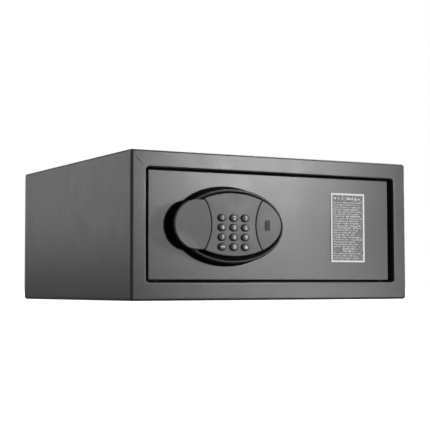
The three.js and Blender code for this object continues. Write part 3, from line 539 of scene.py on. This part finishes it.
def weld_seams():
    """Ground welds across the border's mitred corners: strips whose height is h(1 - v^2)^2 over their width,
    with height and width tapered by sqrt(sin(pi u)) along them."""
    height, half, lift, sunk = 0.03, 1.8, 0.01, 0.05
    u = np.linspace(0.02, 0.98, 24)[:, None]
    v = np.linspace(-1, 1, 9)[None, :]
    strips = []
    left, right, low, high = OPENING
    for sx, sz in ((-1, 1), (1, 1), (-1, -1), (1, -1)):
        outer = np.array([sx * (WIDTH / 2 - BEND), HEIGHT - BEND if sz > 0 else BEND])
        inner_x = right + MOUTH if sx > 0 else left - MOUTH
        inner_z = high + MOUTH if sz > 0 else low - MOUTH
        way = np.array([inner_x, inner_z]) - outer
        normal = np.array([-way[1], way[0]]) / np.linalg.norm(way)
        taper = np.sin(np.pi * u) ** 0.5
        x = outer[0] + u * way[0] + half * taper * v * normal[0]
        y = outer[1] + u * way[1] + half * taper * v * normal[1]
        top = lift + height * (1 - v**2) ** 2 * taper
        above = at_front(x, y, top)
        below = at_front(x, y, np.full_like(top, -sunk))
        strips.append(shell(np.concatenate([above, below[:, ::-1]], axis=1)))
    made = shown("frame_welds", mesh_of("frame_welds", *joined(*strips)))
    made = outward(made)
    made.data.shade_smooth()
    return finished(made, PAINT, "cabinet")


def floor_mat():
    """A felt sheet laid on the floor: a flat grid whose top waves by a fraction of a millimetre and rolls off
    at its edges, z = top - roll(d) + ripple, with d the distance to the nearest edge. The roll is a quarter
    circle, and the ripple is a sum of plane waves."""
    low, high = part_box("floor_mat")
    nx, ny = 190, 150
    soft, sink, wave, calm = 0.0022, 0.0003, 0.00005, 0.004
    x = np.linspace(low.x, high.x, nx)
    y = np.linspace(low.y, high.y, ny)
    gx, gy = np.meshgrid(x, y, indexing="ij")
    edge = np.minimum(np.minimum(gx - low.x, high.x - gx), np.minimum(gy - low.y, high.y - gy))
    random = np.random.default_rng(7)
    ripple = np.zeros_like(gx)
    for _ in range(14):
        fx, fy = random.normal(0, 160, 2)
        ripple += np.sin(fx * gx + fy * gy + random.uniform(0, 6.28))
    roll = soft * (1 - np.sqrt(np.clip(1 - (1 - np.clip(edge / soft, 0, 1)) ** 2, 0, 1)))
    top = high.z - sink - roll * 0.8 + wave * ripple * np.clip(edge / calm, 0, 1)
    above = np.stack([gx, gy, np.minimum(top, high.z)], axis=-1).reshape(-1, 3)
    below = np.stack([gx, gy, np.full_like(gx, low.z)], axis=-1).reshape(-1, 3)
    i, j = np.meshgrid(np.arange(nx - 1), np.arange(ny - 1), indexing="ij")
    first = (i * ny + j).ravel()
    quads = np.stack([first, first + ny, first + ny + 1, first + 1], axis=-1)
    rim = np.concatenate([
        np.arange(nx) * ny, (nx - 1) * ny + np.arange(1, ny),
        (np.arange(nx - 1)[::-1]) * ny + ny - 1, np.arange(1, ny - 1)[::-1],
    ])
    after = np.roll(rim, -1)
    count = nx * ny
    sides = np.stack([rim + count, after + count, after, rim], axis=-1)
    faces = [quads, quads[:, ::-1] + count, sides]
    made = shown("felt_mat", mesh_of("felt_mat", np.concatenate([above, below]), faces))
    holes = [rod((x, y, low.z - 0.002), (x, y, high.z + 0.002), MAT_HOLE) for x, y in ANCHORS]
    carved(made, joined(*holes))
    made.data.shade_smooth()
    finished(made, FELT, "cabinet", ["floor_mat"])
    return made


# ---------------------------------------------------------------- carried-over nodes
def softened(name, node, material, body, width):
    """A copy of a CAD node, its loose triangles merged and flat areas joined, with its edges rounded."""
    work = bmesh.new()
    work.from_mesh(NODES[node].data)
    bmesh.ops.remove_doubles(work, verts=work.verts, dist=2e-6)
    bmesh.ops.dissolve_limit(work, angle_limit=math.radians(0.5), verts=work.verts, edges=work.edges)
    mesh = bpy.data.meshes.new(name)
    work.to_mesh(mesh)
    work.free()
    made = rounded(shown(name, mesh), width)
    return finished(made, material, body, [node])


# ---------------------------------------------------------------- lock
HOUSING = dict(a=78.5, b=52.0)
BEAD_OVAL = dict(a=78.6, b=49.0)
BEAD_Y, POD_X, POD_Y = -0.4, -4.0, 0.9
POD = dict(a=72.0, b=40.5)
# Heights over the door's face.
LOCK_BACK, FOOT, SHOULDER, VALLEY = 1.8, 2.0, 14.5, 15.0
WALL_TOP, BEAD_TOP, DECK = 18.2, 20.8, 28.0
PLATE_BACK, PLATE_FACE = 28.3, 31.0
PLATE_EDGE, PLATE_CROWN = 0.8, 0.3
GRIP_X, GRIP_Y, GRIP_R, GRIP_FLAT = -58.0, 0.1, 32.0, -31.5
SEAM_R, SEAM_GAP = 57.0, 0.8
SEAM_LEFT, SEAM_RIGHT = -36.9, 29.4
ROUND = 224  # points round an oval
FACE_SHARES = np.linspace(0.97, 0.04, 16)  # a plate's rings inside its edge, as shares of the way out


def oval(cx, cy, a, b, out, z, count=ROUND):
    """An ellipse about (cx, cy) grown by out, at height z: (a + out) cos t across, (b + out) sin t up."""
    t = turn(count)
    return at_lock(cx + (a + out) * np.cos(t), cy + (b + out) * np.sin(t), z)


def housing_line(out, z):
    """The lock's foot on the door."""
    return oval(0, 0, HOUSING["a"], HOUSING["b"], out, z)


def bead_line(out, z):
    """The outer line of the raised rim."""
    return oval(0, BEAD_Y, BEAD_OVAL["a"], BEAD_OVAL["b"], out, z)


def pod_line(out, z):
    """The outline of the pod that carries the face."""
    return oval(POD_X, POD_Y, POD["a"], POD["b"], out, z)


def grip_cutter(radius, flat, z0, z1):
    """The grip's plan as a solid: a disc whose points past the flat are drawn back to it by min(x, flat)."""
    t = turn(160)
    x = np.minimum(GRIP_X + radius * np.cos(t), flat)
    y = GRIP_Y + radius * np.sin(t)
    return shell(np.stack([at_lock(x, y, z0), at_lock(x, y, z1)]))


def lock_base():
    """The black body under the bead: ovals stacked into a wall with draft and a flat valley, joined with the
    pod that carries the face, and hollowed from behind. The slots for the sliding cover's feet aren't cut, so
    the feet pass through the deck."""
    insets, drops = quarter_round(0.6, 4)
    wall = [
        housing_line(-0.3, LOCK_BACK),
        housing_line(0, LOCK_BACK + 0.3),
        housing_line(0, LOCK_BACK + FOOT),
        bead_line(-0.2, SHOULDER + 1.5),
        bead_line(0, WALL_TOP - 0.3),
        bead_line(-0.25, WALL_TOP),
        bead_line(-0.85, WALL_TOP),
        bead_line(-0.95, WALL_TOP - 0.3),
        bead_line(-0.95, VALLEY),
    ]
    made = shown("lock_base", mesh_of("lock_base", *shell(np.stack(wall))))
    pod = [pod_line(0.9, VALLEY - 1), pod_line(0.9, VALLEY), pod_line(0.6, VALLEY + 0.3)]
    pod += [pod_line(-inset, DECK - drop) for inset, drop in zip(insets, drops)]
    carved(made, shell(np.stack(pod)), "UNION")
    hollow = [housing_line(-3, -1), housing_line(-3, LOCK_BACK + FOOT), bead_line(-3.8, VALLEY - 2.5)]
    carved(made, shell(np.stack(hollow)))
    carved(made, shell(np.stack([pod_line(-2.6, 0.0), pod_line(-2.6, DECK - 2.5)])))
    carved(made, grip_cutter(GRIP_R + GAP, GRIP_FLAT + GAP, -1.0, DECK + 1))
    x0, x1, y0, y1 = key_window()
    corners = np.array([at_lock(x0, y0, DECK + 1), at_lock(x1, y1, DECK - 4)])
    carved(made, boxes([corners.min(0)], [corners.max(0)]))
    carved(made, rod(at_lock(CYLINDER_X, POD_Y, DECK - 4.0), at_lock(CYLINDER_X, POD_Y, DECK + 1.0), 0.0093))
    outward(made)
    rounded(made, 0)
    return finished(made, BLACK, "door", ["lock_housing"])


def bead_ring():
    """The raised rim: a half-round bead of radius r on the oval, set just inside the black wall, closed
    below and cut where the grip stands. Its section is (-1 - r + r cos t, top - r + r sin t)."""
    r = 1.85
    rings = [bead_line(-1.1, VALLEY + 0.05), bead_line(-1.0, VALLEY + 0.4)]
    for t in np.linspace(0, np.pi, 13):
        rings.append(bead_line(-1.0 - r + r * math.cos(t), BEAD_TOP - r + r * math.sin(t)))
    rings += [bead_line(-4.7, VALLEY + 0.3), bead_line(-4.5, VALLEY + 0.05)]
    made = shown("lock_bead", mesh_of("lock_bead", *shell(np.stack(rings), wrap=True)))
    carved(made, grip_cutter(GRIP_R + GAP, GRIP_FLAT + GAP, -1.0, DECK + 1))
    rounded(made, 0)
    # The rim's colour is the black plastic lightened as painted highlight.
    return finished(made, BEAD_PAINTED_HIGHLIGHT, "door")


def pull_grip():
    """The round grip: radius R - d(1 - |sin(n t / 2)|^1.5) at angle t gives n ribs, drawn back to the flat
    beside the keys, and the same ribs fade out over the rounded top edge."""
    ribs, depth = 76, 0.8
    t = turn(ribs * 9)
    notch = depth * (1 - np.abs(np.sin(ribs * t / 2)) ** 1.5)

    def ring(shrink, z, rib=1.0):
        r = GRIP_R - shrink - notch * rib
        x = np.minimum(GRIP_X + r * np.cos(t), GRIP_FLAT)
        return at_lock(x, GRIP_Y + r * np.sin(t), z)

    insets, drops = quarter_round(1.2, 7)
    rings = [ring(0.4, LOCK_BACK), ring(0, LOCK_BACK + 0.4), ring(0, DECK - 12)]
    fade = np.linspace(1, 0.25, len(insets))
    rings += [ring(inset, DECK - drop, rib) for inset, drop, rib in zip(insets, drops, fade)]
    made = shown("ribbed_grip", mesh_of("ribbed_grip", *shell(np.stack(rings))))
    carved(made, grip_cutter(GRIP_R - 3.5, GRIP_FLAT - 3.5, 0.0, DECK - 2.5))
    rounded(made, 0)
    return finished(made, BLACK, "door", ["pull_grip"])


def key_window():
    """x0, x1, y0, y1 of the opening under the keys."""
    low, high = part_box("keypad_membrane")
    return ((low.x - LOCK_X) / MM, (high.x - LOCK_X) / MM, (low.z - LOCK_Z) / MM, (high.z - LOCK_Z) / MM)


def plate_rings(reach, x, y, face, back, edge, crown):
    """Rings of a plate seen from (x, y): reach(inset) is its outline's distance by angle. Its edge is a
    quarter round, and its face falls by crown s^2 from the middle, s being the share of the way out."""
    t = turn(len(reach(0.0)))

    def ring(distance, z):
        return at_lock(x + distance * np.cos(t), y + distance * np.sin(t), z)

    rings = [ring(reach(0.3), back), ring(reach(0.0), back + 0.3)]
    for inset, drop in zip(*quarter_round(edge, 6)):
        rings.append(ring(reach(inset), face - crown - drop))
    for share in FACE_SHARES:
        rings.append(ring(share * reach(edge), face - crown * share**2))
    return np.stack(rings)


def display_lens():
    """The smoked window over the grip: a disc, straight above and below towards the keys, ended by the seam's
    arc, its face dished by dish(1 - s^2). Past a slanting line its lower left corner rises by a share of the
    distance to the line, and the rise fades out towards the middle of the height."""
    t = turn(288)
    radius = GRIP_R - 0.2
    dish, slope = 0.15 * MM, 0.045
    seam_x = SEAM_LEFT - SEAM_R

    def reach(inset):
        band = (radius - inset) / np.maximum(np.abs(np.sin(t)), 1e-6)
        circle = np.full_like(t, radius - inset)
        plan = np.where(np.cos(t) > 0, np.minimum(band, 2 * radius), circle)
        arc = to_ellipse(t, GRIP_X, GRIP_Y, seam_x, POD_Y, SEAM_R - inset, SEAM_R - inset)
        return np.minimum(plan, arc)

    rings = plate_rings(reach, GRIP_X, GRIP_Y, PLATE_FACE + 0.4, PLATE_BACK, 1.2, 0.0)
    face = rings[-len(FACE_SHARES):]
    face[..., 1] += (dish * (1 - FACE_SHARES**2))[:, None]
    front = rings[2:]
    beyond = -0.77 * (front[..., 0] - LOCK_X + 0.061) - 0.63 * (front[..., 2] - LOCK_Z + 0.021)
    fade = np.clip((LOCK_Z - 0.006 - front[..., 2]) / 0.016, 0, 1)
    front[..., 1] -= slope * np.maximum(beyond, 0) * fade
    made = shown("lens_window", mesh_of("lens_window", *shell(rings)))
    rounded(made, 0, limit=50)
    return finished(made, LENS, "door", ["display_lens"])


def pod_reach(t, x, y, inset):
    """Distance from (x, y) along the angles t to the pod's outline, drawn in by inset."""
    return to_ellipse(t, x, y, POD_X, POD_Y, POD["a"] - inset, POD["b"] - inset)


def keypad_fascia():
    """The face round the keys: the pod's oval less the two seam discs, whichever is nearest at each angle,
    with the key holes cut through."""
    t = turn(360)

    def reach(inset):
        near = pod_reach(t, POD_X, POD_Y, inset)
        for cx in (SEAM_LEFT - SEAM_R, SEAM_RIGHT + SEAM_R):
            disc = to_disc_outside(t, POD_X, POD_Y, cx, POD_Y, SEAM_R + SEAM_GAP + inset)
            near = np.minimum(near, disc)
        return near

    plate = shell(plate_rings(reach, POD_X, POD_Y, PLATE_FACE, PLATE_BACK, PLATE_EDGE, PLATE_CROWN))
    made = shown("keypad_face", mesh_of("keypad_face", *plate))
    holes = []
    for node in KEY_NODES:
        x, y = key_centre(node)
        rims = [oval(x, y, HOLE_A, HOLE_B, 0, z, 56) for z in (PLATE_BACK - 1, PLATE_FACE + 1)]
        holes.append(shell(np.stack(rims)))
    carved(made, joined(*holes))
    rounded(made, 0)
    return finished(made, SILK, "door", ["keypad_fascia"])


def override_cover():
    """The sliding cover: the part of the pod's oval inside the right seam disc, whichever is nearer at each
    angle, with its two feet as boxes: a neck through the deck and a wider head under it."""
    t = turn(288)
    x, y = 47.0, POD_Y

    def reach(inset):
        disc = to_ellipse(t, x, y, SEAM_RIGHT + SEAM_R, POD_Y, SEAM_R - inset, SEAM_R - inset)
        return np.minimum(pod_reach(t, x, y, inset), disc)

    plate = shell(plate_rings(reach, x, y, PLATE_FACE, PLATE_BACK, PLATE_EDGE, PLATE_CROWN))
    made = shown("emergency_cover_plate", mesh_of("emergency_cover_plate", *plate))
    rounded(made, 0)
    finished(made, SILK, "emergency_cover", ["override_cover"])
    foot_x, foot_long = SEAM_RIGHT + 2.6, 4
    neck, head = 1.1, 2.0
    head_top, head_foot = DECK - 2.5 - 0.42, DECK - 2.5 - 1.3
    near, far = [], []
    for side in (-1, 1):
        foot_y = POD_Y + side * 13.5
        near += [at_lock(foot_x, foot_y - neck, PLATE_BACK + 0.02), at_lock(foot_x, foot_y - head, head_top)]
        far.append(at_lock(foot_x + foot_long, foot_y + neck, head_top))
        far.append(at_lock(foot_x + foot_long, foot_y + head, head_foot))
    feet = shown("cover_feet", mesh_of("cover_feet", *boxes(np.minimum(near, far), np.maximum(near, far))))
    rounded(feet, 0.2)
    finished(feet, SILK, "emergency_cover")
    return made


def thumb_ribs():
    """Four raised finger bars, each a bowed half-round: x = x0 - bow(1 - v^2) + half w e, with
    e = sqrt(1 - v^6), and z = h sqrt(1 - w^2) e. They are staggered a little in height, turn about."""
    bars_x, pitch, bow, half, proud, stagger = 46.5, 2.05, 0.5, 0.6, 0.7, 0.4
    v = np.linspace(-0.998, 0.998, 28)[:, None]
    w = np.linspace(-1, 1, 11)[None, :]
    end = (1 - v**6) ** 0.5
    bars = []
    for k in (-1.5, -0.5, 0.5, 1.5):
        reach = 8.2 - abs(k) * 0.6
        x = bars_x + k * pitch - bow * (1 - v**2) + half * w * end
        y = POD_Y + stagger * math.cos(math.pi * (k + 0.5)) + reach * v + 0 * w
        z = PLATE_FACE - 0.15 + proud * np.sqrt(1 - w**2) * end
        top = at_lock(x, y, z)
        under = at_lock(x, y, np.full_like(z, PLATE_FACE - 0.25))
        bars.append(shell(np.concatenate([top, under[:, ::-1]], axis=1)))
    made = outward(shown("cover_thumb_bars", mesh_of("cover_thumb_bars", *joined(*bars))))
    made.data.shade_smooth()
    return finished(made, BLACK, "emergency_cover")


# ---------------------------------------------------------------- keys
KEY_NODES = [node for node in NODES if node.startswith("key_") and node not in ("key_cylinder", "key_plug")]
KEY_A, KEY_B = 6.1, 4.9
HOLE_A, HOLE_B = 6.5, 5.3
KEY_PROUD, KEY_DOME, KEY_SKIRT, KEY_FLANGE = 2.6, 1.3, 0.8, 1.4
KEY_TOP = PLATE_FACE + KEY_PROUD
SKIRT_TOP = PLATE_BACK - 2 * GAP
INK_LIFT, INK_SKIN = 0.03, 0.07


def key_centre(node):
    """The key's place in the lock's own frame, in mm."""
    at = middle(node)
    return (at.x - LOCK_X) / MM, (at.z - LOCK_Z) / MM


def button_of(node):
    """The body that a key's node rides on."""
    return node.replace("key_", "button_")


def dome(share):
    """Height of a key's face at a share of the way to its rim: top - dome(1 - (1 - s^3.6)^(1/2.2))."""
    return KEY_TOP - KEY_DOME * (1 - (1 - np.clip(share, 0, 1) ** 3.6) ** (1 / 2.2))


def key_cap(node):
    """A domed oval key on a skirt that keeps it behind the fascia: ellipses whose height follows dome(s), s
    being their share of the key's own size."""
    x, y = key_centre(node)
    t = turn(72)

    def ring(out, z):
        return oval(x, y, KEY_A, KEY_B, out, z, len(t))

    rings = [ring(KEY_SKIRT, SKIRT_TOP - KEY_FLANGE), ring(KEY_SKIRT, SKIRT_TOP), ring(0, SKIRT_TOP + 0.02)]
    rings.append(ring(0, KEY_TOP - KEY_DOME))
    for angle in np.linspace(0.12, 1.0, 14) * math.pi / 2:
        share = math.cos(angle) if angle < 1.57 else 0.02
        rings.append(at_lock(x + KEY_A * share * np.cos(t), y + KEY_B * share * np.sin(t), dome(share)))
    name = node.replace("key_", "keycap_")
    made = shown(name, mesh_of(name, *shell(np.stack(rings))))
    rounded(made, 0, limit=55)
    return finished(made, KEY, button_of(node), [node])


def arrow():
    """A left arrow, as an outline in mm."""
    return np.array(
        [(-2.9, 0), (-0.9, 1.5), (-0.9, 0.55), (2.9, 0.55), (2.9, -0.55), (-0.9, -0.55), (-0.9, -1.5)])


def padlock():
    """A closed padlock, as one outline in mm: round the outside, then back along the inside of the shackle.
    The shackle is two half ellipses, a cos t across and b sin t up."""
    t = np.linspace(0, math.pi, 12)
    body = [(-2.0, 0.2), (-2.0, -1.9), (2.0, -1.9), (2.0, 0.2), (1.3, 0.2)]
    outer = np.stack([1.3 * np.cos(t), 0.6 + 1.4 * np.sin(t)], axis=-1)
    inner = np.stack([0.65 * np.cos(t), 0.6 + 0.8 * np.sin(t)], axis=-1)[::-1]
    return np.concatenate([body, outer, [(-1.3, 0.2), (-0.65, 0.2)], inner, [(0.65, 0.2)]])


def flat_text(text, height):
    """A digit from the built-in font, filled, centred on the origin and height mm tall, as a flat mesh."""
    curve = bpy.data.curves.new("mark", "FONT")
    curve.body = text
    curve.size = 1.0
    curve.resolution_u = 6
    curve.offset = 0.012
    holder = shown("mark", curve)
    flat = worked_out(holder)
    bpy.data.objects.remove(holder)
    points = coordinates(flat)
    low, high = points.min(0), points.max(0)
    points = (points - (low + high) / 2) * (height / (high[1] - low[1]))
    flat.vertices.foreach_set("co", points.ravel())
    return flat


def flat_outline(outline):
    """A filled outline in mm, as a flat mesh of one face."""
    points = np.column_stack([outline, np.zeros(len(outline))])
    return mesh_of("mark", points, [np.arange(len(outline))[None, :]])


def key_mark(node, flat):
    """A mark of white ink on a key: the flat shape cut finely, laid on the dome at height dome(s), s being
    the share of the way to the key's rim, and given a skin's thickness."""
    work = bmesh.new()
    work.from_mesh(flat)
    bpy.data.meshes.remove(flat)
    bmesh.ops.remove_doubles(work, verts=work.verts, dist=1e-4)
    bmesh.ops.triangulate(work, faces=work.faces)
    bmesh.ops.dissolve_degenerate(work, dist=1e-4, edges=work.edges)
    for _ in range(2):
        long = [edge for edge in work.edges if edge.calc_length() > 0.7]
        bmesh.ops.subdivide_edges(work, edges=long, cuts=1)
        bmesh.ops.triangulate(work, faces=work.faces)
    bmesh.ops.recalc_face_normals(work, faces=work.faces)
    bmesh.ops.delete(work, geom=[vert for vert in work.verts if not vert.link_faces], context="VERTS")
    name = node.replace("key_", "mark_")
    mesh = bpy.data.meshes.new(name)
    work.to_mesh(mesh)
    work.free()
    x, y = key_centre(node)
    points = coordinates(mesh)
    share = np.hypot(points[:, 0] / KEY_A, points[:, 1] / KEY_B)
    laid = at_lock(x + points[:, 0], y + points[:, 1], dome(share) + INK_LIFT)
    mesh.vertices.foreach_set("co", laid.ravel())
    mesh.update()
    facing = sum(face.normal.y * face.area for face in mesh.polygons)
    if facing > 0:
        mesh.flip_normals()
    made = shown(name, mesh)
    skin = made.modifiers.new("Skin", "SOLIDIFY")
    skin.thickness = INK_SKIN * MM
    skin.offset = -1
    return finished(made, INK, button_of(node))


def keypad():
    """Twelve keys and their marks: the digits, an arrow to clear and a padlock to lock."""
    for node in KEY_NODES:
        key_cap(node)
        text = node.replace("key_", "")
        if text.isdigit():
            key_mark(node, flat_text(text, 5.2))
        elif text == "clear":
            key_mark(node, flat_outline(arrow()))
        else:
            key_mark(node, flat_outline(padlock()))


# ---------------------------------------------------------------- label
def text_row(random, left, right, base, tall, tick):
    """A row of unreadable print: upright ticks of one width at even steps, each of its own height and start,
    with a gap of two steps after every few of them."""
    step = 1.75 * tick
    x = np.arange(left, right - tick, step)
    kept = (random.random(len(x)) > 0.16) & (np.arange(len(x)) % random.integers(6, 10) > 0)
    x = x[kept]
    foot = base + tall * 0.3 * random.random(len(x))
    top = base + tall * (0.6 + 0.4 * random.random(len(x)))
    return np.stack([x, foot, x + tick, top], axis=-1)


def label():
    """The instruction label: a film with round corners, a white border, and rows of ticks in place of words.
    The film is three stacked outlines, and each tick and border strip is a thin box."""
    low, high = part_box("instruction_label")
    x0, x1, z0, z1 = low.x / MM, high.x / MM, low.z / MM, high.z / MM
    back, face = high.y, low.y

    def ring(inset, share):
        x, z = rounded_rect(x0 + inset, x1 - inset, z0 + inset, z1 - inset, 1.2, 6)
        return np.stack([x * MM, np.full_like(x, back + share * (face - back)), z * MM], axis=-1)

    layers = np.stack([ring(0, 0), ring(0, 0.6), ring(0.12, 0.8)])
    film = shown("label_film", mesh_of("label_film", *shell(layers)))
    rounded(film, 0)
    finished(film, FILM, "door", ["instruction_label"])

    rim, line = 0.4, 2.3
    left, right = x0 + 4.0, x1 - 4.0
    wide = right - left
    blocks = [[
        (x0 + rim, z1 - rim - line, x1 - rim, z1 - rim),
        (x0 + rim, z0 + rim, x1 - rim, z0 + rim + line),
        (x0 + rim, z0 + rim + line, x0 + rim + line, z1 - rim - line),
        (x1 - rim - line, z0 + rim + line, x1 - rim, z1 - rim - line),
    ]]
    random = np.random.default_rng(11)
    heading, heading_tall, heading_tick = z1 - 9.6, 4.3, 1.05
    blocks.append(text_row(random, left, left + 0.38 * wide, heading, heading_tall, heading_tick))
    blocks.append(text_row(random, left + 0.44 * wide, right, heading, heading_tall, heading_tick))
    room = heading - 2.2 - (z0 + 4.2)
    row_pitch = 3.15
    count = int(room // row_pitch)
    for k in range(count):
        share = (k + 0.5) / count
        base = heading - 1.4 - (k + 1) * room / count
        bold = 0.22 < share < 0.3 or 0.42 < share < 0.5
        centred = 0.8 < share < 0.9
        start, end = (0.3, 0.72) if centred else (0.0, 1.0 if bold else random.uniform(0.75, 1.0))
        tall, tick = (2.5, 0.75) if bold or centred else (1.9, 0.5)
        blocks.append(text_row(random, left + start * wide, left + end * wide, base, tall, tick))
    flat = np.concatenate([np.asarray(block, float) for block in blocks]) * MM
    front = np.full(len(flat), face)
    lows = np.stack([flat[:, 0], front, flat[:, 1]], axis=-1)
    highs = np.stack([flat[:, 2], front + 0.12 * MM, flat[:, 3]], axis=-1)
    ink = shown("label_print", mesh_of("label_print", *boxes(lows, highs)))
    return finished(ink, INK, "door")


# ---------------------------------------------------------------- everything else from the CAD
CARRIED = [  # node, material, record slot, body, edge rounding in mm
    ("back_panel", PAINT, "powder_coat", "cabinet", 0.6),
    ("strike_plate", ZINC, "zinc_plated", "cabinet", 0.4),
    ("hinge_bracket_upper", ZINC, "zinc_plated", "cabinet", 0.3),
    ("hinge_bracket_lower", ZINC, "zinc_plated", "cabinet", 0.3),
    # The door stops take the near-black painted shade, so that the gap round the door reads dark.
    ("door_stop_upper", GAP_SHADE_BLACK, "powder_coat", "cabinet", 0.4),
    ("door_stop_lower", GAP_SHADE_BLACK, "powder_coat", "cabinet", 0.4),
    ("door_plate", PAINT, "powder_coat", "door", 0.25),
    ("door_liner", PAINT, "powder_coat", "door", 0.5),
    ("hinge_block_upper", ZINC, "zinc_plated", "door", 0.5),
    ("hinge_block_lower", ZINC, "zinc_plated", "door", 0.5),
    ("hinge_pin_upper", PIN, "bright_steel", "door", 0.5),
    ("hinge_pin_lower", PIN, "bright_steel", "door", 0.5),
    ("lock_gasket", RUBBER, "rubber", "door", 0.15),
    ("display_module", BLACK, "black_plastic", "door", 0.2),
    ("keypad_membrane", RUBBER, "rubber", "door", 0.1),
    ("keypad_board", BOARD, "circuit_board", "door", 0),
    ("key_cylinder", STEEL, "bright_steel", "door", 0.25),
    ("key_plug", BRASS, "brass", "emergency_plug", 0.15),
    ("override_cam", ZINC, "zinc_plated", "emergency_plug", 0.3),
    ("wire_harness", RUBBER, "rubber", "door", 0),
    ("bolt_guide", ZINC, "zinc_plated", "door", 0.4),
    ("bolt_carriage", ZINC, "zinc_plated", "boltwork", 0.2),
    ("live_bolt_lower", STEEL, "bright_steel", "boltwork", 0.3),
    ("live_bolt_upper", STEEL, "bright_steel", "boltwork", 0.3),
    ("gear_motor", ZINC, "zinc_plated", "door", 0.4),
    ("drive_pinion", BRASS, "brass", "pinion", 0.05),
    ("control_board", BOARD, "circuit_board", "door", 0),
    ("battery_holder", BLACK, "black_plastic", "door", 0.3),
    ("battery_lid", BLACK, "black_plastic", "lid", 0.35),
]
CARRIED += [(f"lock_screw_{i}", ZINC, "zinc_plated", "door", 0.3) for i in (1, 2, 3)]
CARRIED += [(f"liner_screw_{i}", ZINC, "zinc_plated", "door", 0.4) for i in (1, 2, 3, 4)]
CARRIED += [(f"battery_cell_{i}", WRAP, "cell_wrap", "door", 0.4) for i in (1, 2, 3, 4)]


def carry_over():
    """Shows each of these nodes as a softened copy of its own mesh."""
    for node, material, slot, body, width in CARRIED:
        softened(node + "_finished", node, material, body, width)


# ---------------------------------------------------------------- studio
# Name, azimuth and elevation in degrees as seen from the safe's front, distance and size in m, power in W.
LAMPS = [
    ("key_upper", 28, 11, 1.6, 0.28, 8.4),
    ("key_middle", 27, 4, 1.6, 0.25, 1.7),
    ("key_lower", 34, -6, 1.6, 0.25, 2.7),
    ("left_side", -115, 30, 2.2, 0.9, 19),
    ("left_back", -148, 12, 2.2, 0.9, 2.9),
    ("right_high", 75, 53, 2.2, 1.4, 24),
    ("right_low", 118, 8, 2.2, 1.0, 10),
    ("right_edge", 60, 4, 1.6, 0.35, 3),
    ("back_high", 150, 55, 2.4, 1.6, 70),
]
SHADOWLESS = [  # these pieces cast no shadow, as if the lock stood in soft light from all round
    "lock_base",
    "lock_bead",
    "ribbed_grip",
    "lens_window",
    "keypad_face",
    "emergency_cover_plate",
    "display_module_finished",
    "lock_gasket_finished",
]
AIM = Vector((0, -0.1, 0.09))  # the point that the lamps face
FOCAL, SENSOR = 99.42, 36
YAW, PITCH, ROLL = 28.844, 3.489, -0.141  # degrees
CAMERA_AT = (-0.839, -1.545, 0.0169)


def area_light(name, azimuth, elevation, distance, size, power):
    """A soft square lamp that faces the safe. Azimuth 0 is straight in front, and it grows to the right."""
    lamp = bpy.data.lights.new(name, "AREA")
    lamp.shape = "SQUARE"
    lamp.size = size
    lamp.energy = power
    side = math.radians(azimuth)
    lift = math.radians(elevation)
    out = Vector((math.sin(side) * math.cos(lift), -math.cos(side) * math.cos(lift), math.sin(lift)))
    holder = bpy.data.objects.new(name, lamp)
    bpy.context.scene.collection.objects.link(holder)
    holder.location = AIM + distance * out
    holder.rotation_euler = (-out).to_track_quat("-Z", "Y").to_euler()
    return holder


def studio():
    """A pale floor and a white background, dim even light from the room, and the lamps. The floor's own glow
    grows with the distance from the safe, so that it meets the background without a line."""
    scene = bpy.context.scene
    scene.view_settings.view_transform = "Standard"
    world = bpy.data.worlds.new("studio")
    scene.world = world
    world.use_nodes = True
    tree = world.node_tree
    white = (1, 1, 1, 1)
    seen = tree.nodes["Background"]
    seen.inputs["Color"].default_value = white
    room = add(tree, "ShaderNodeBackground", Color=white, Strength=0.15)
    ray = add(tree, "ShaderNodeLightPath")
    mix = add(tree, "ShaderNodeMixShader")
    tree.links.new(ray.outputs["Is Camera Ray"], mix.inputs["Fac"])
    tree.links.new(room.outputs["Background"], mix.inputs[1])
    tree.links.new(seen.outputs["Background"], mix.inputs[2])
    tree.links.new(mix.outputs["Shader"], tree.nodes["World Output"].inputs["Surface"])

    floor = shown("studio_floor", mesh_of("studio_floor", *boxes([(-30, -30, -0.01)], [(30, 30, 0)])))
    pale, floor_tree, shader = sockets("studio_floor", (0.8, 0.8, 0.8), 0.9, specular=0.1)
    shader.inputs["Emission Color"].default_value = white
    place = add(floor_tree, "ShaderNodeTexCoord")
    reach = add(floor_tree, "ShaderNodeVectorMath", operation="LENGTH")
    glow = add(floor_tree, "ShaderNodeMapRange")
    set_inputs(glow, {"From Min": 0.35, "From Max": 1.2, "To Min": 0.9, "To Max": 1.1})
    floor_tree.links.new(place.outputs["Object"], reach.inputs[0])
    floor_tree.links.new(reach.outputs["Value"], glow.inputs["Value"])
    floor_tree.links.new(glow.outputs["Result"], shader.inputs["Emission Strength"])
    floor.data.materials.append(pale)
    floor.visible_glossy = False
    floor.visible_diffuse = False
    floor.visible_shadow = False

    for lamp in LAMPS:
        area_light(*lamp)


def camera():
    """The view: below the middle of the safe, turned to its left front corner."""
    lens = bpy.data.cameras.new("camera")
    lens.lens = FOCAL
    lens.sensor_width = SENSOR
    lens.clip_start = 0.05
    holder = bpy.data.objects.new("camera", lens)
    bpy.context.scene.collection.objects.link(holder)
    heading = Matrix.Rotation(-math.radians(YAW), 4, "Z")
    tilt = Matrix.Rotation(math.pi / 2 + math.radians(PITCH), 4, "X")
    twist = Matrix.Rotation(math.radians(ROLL), 4, "Z")
    holder.matrix_world = Matrix.Translation(CAMERA_AT) @ heading @ tilt @ twist
    bpy.context.scene.camera = holder


cabinet_shell()
weld_seams()
floor_mat()
lock_base()
bead_ring()
pull_grip()
display_lens()
keypad_fascia()
override_cover()
thumb_ribs()
keypad()
label()
carry_over()
for piece in SHADOWLESS:
    bpy.data.objects[piece].visible_shadow = False
camera()
studio()
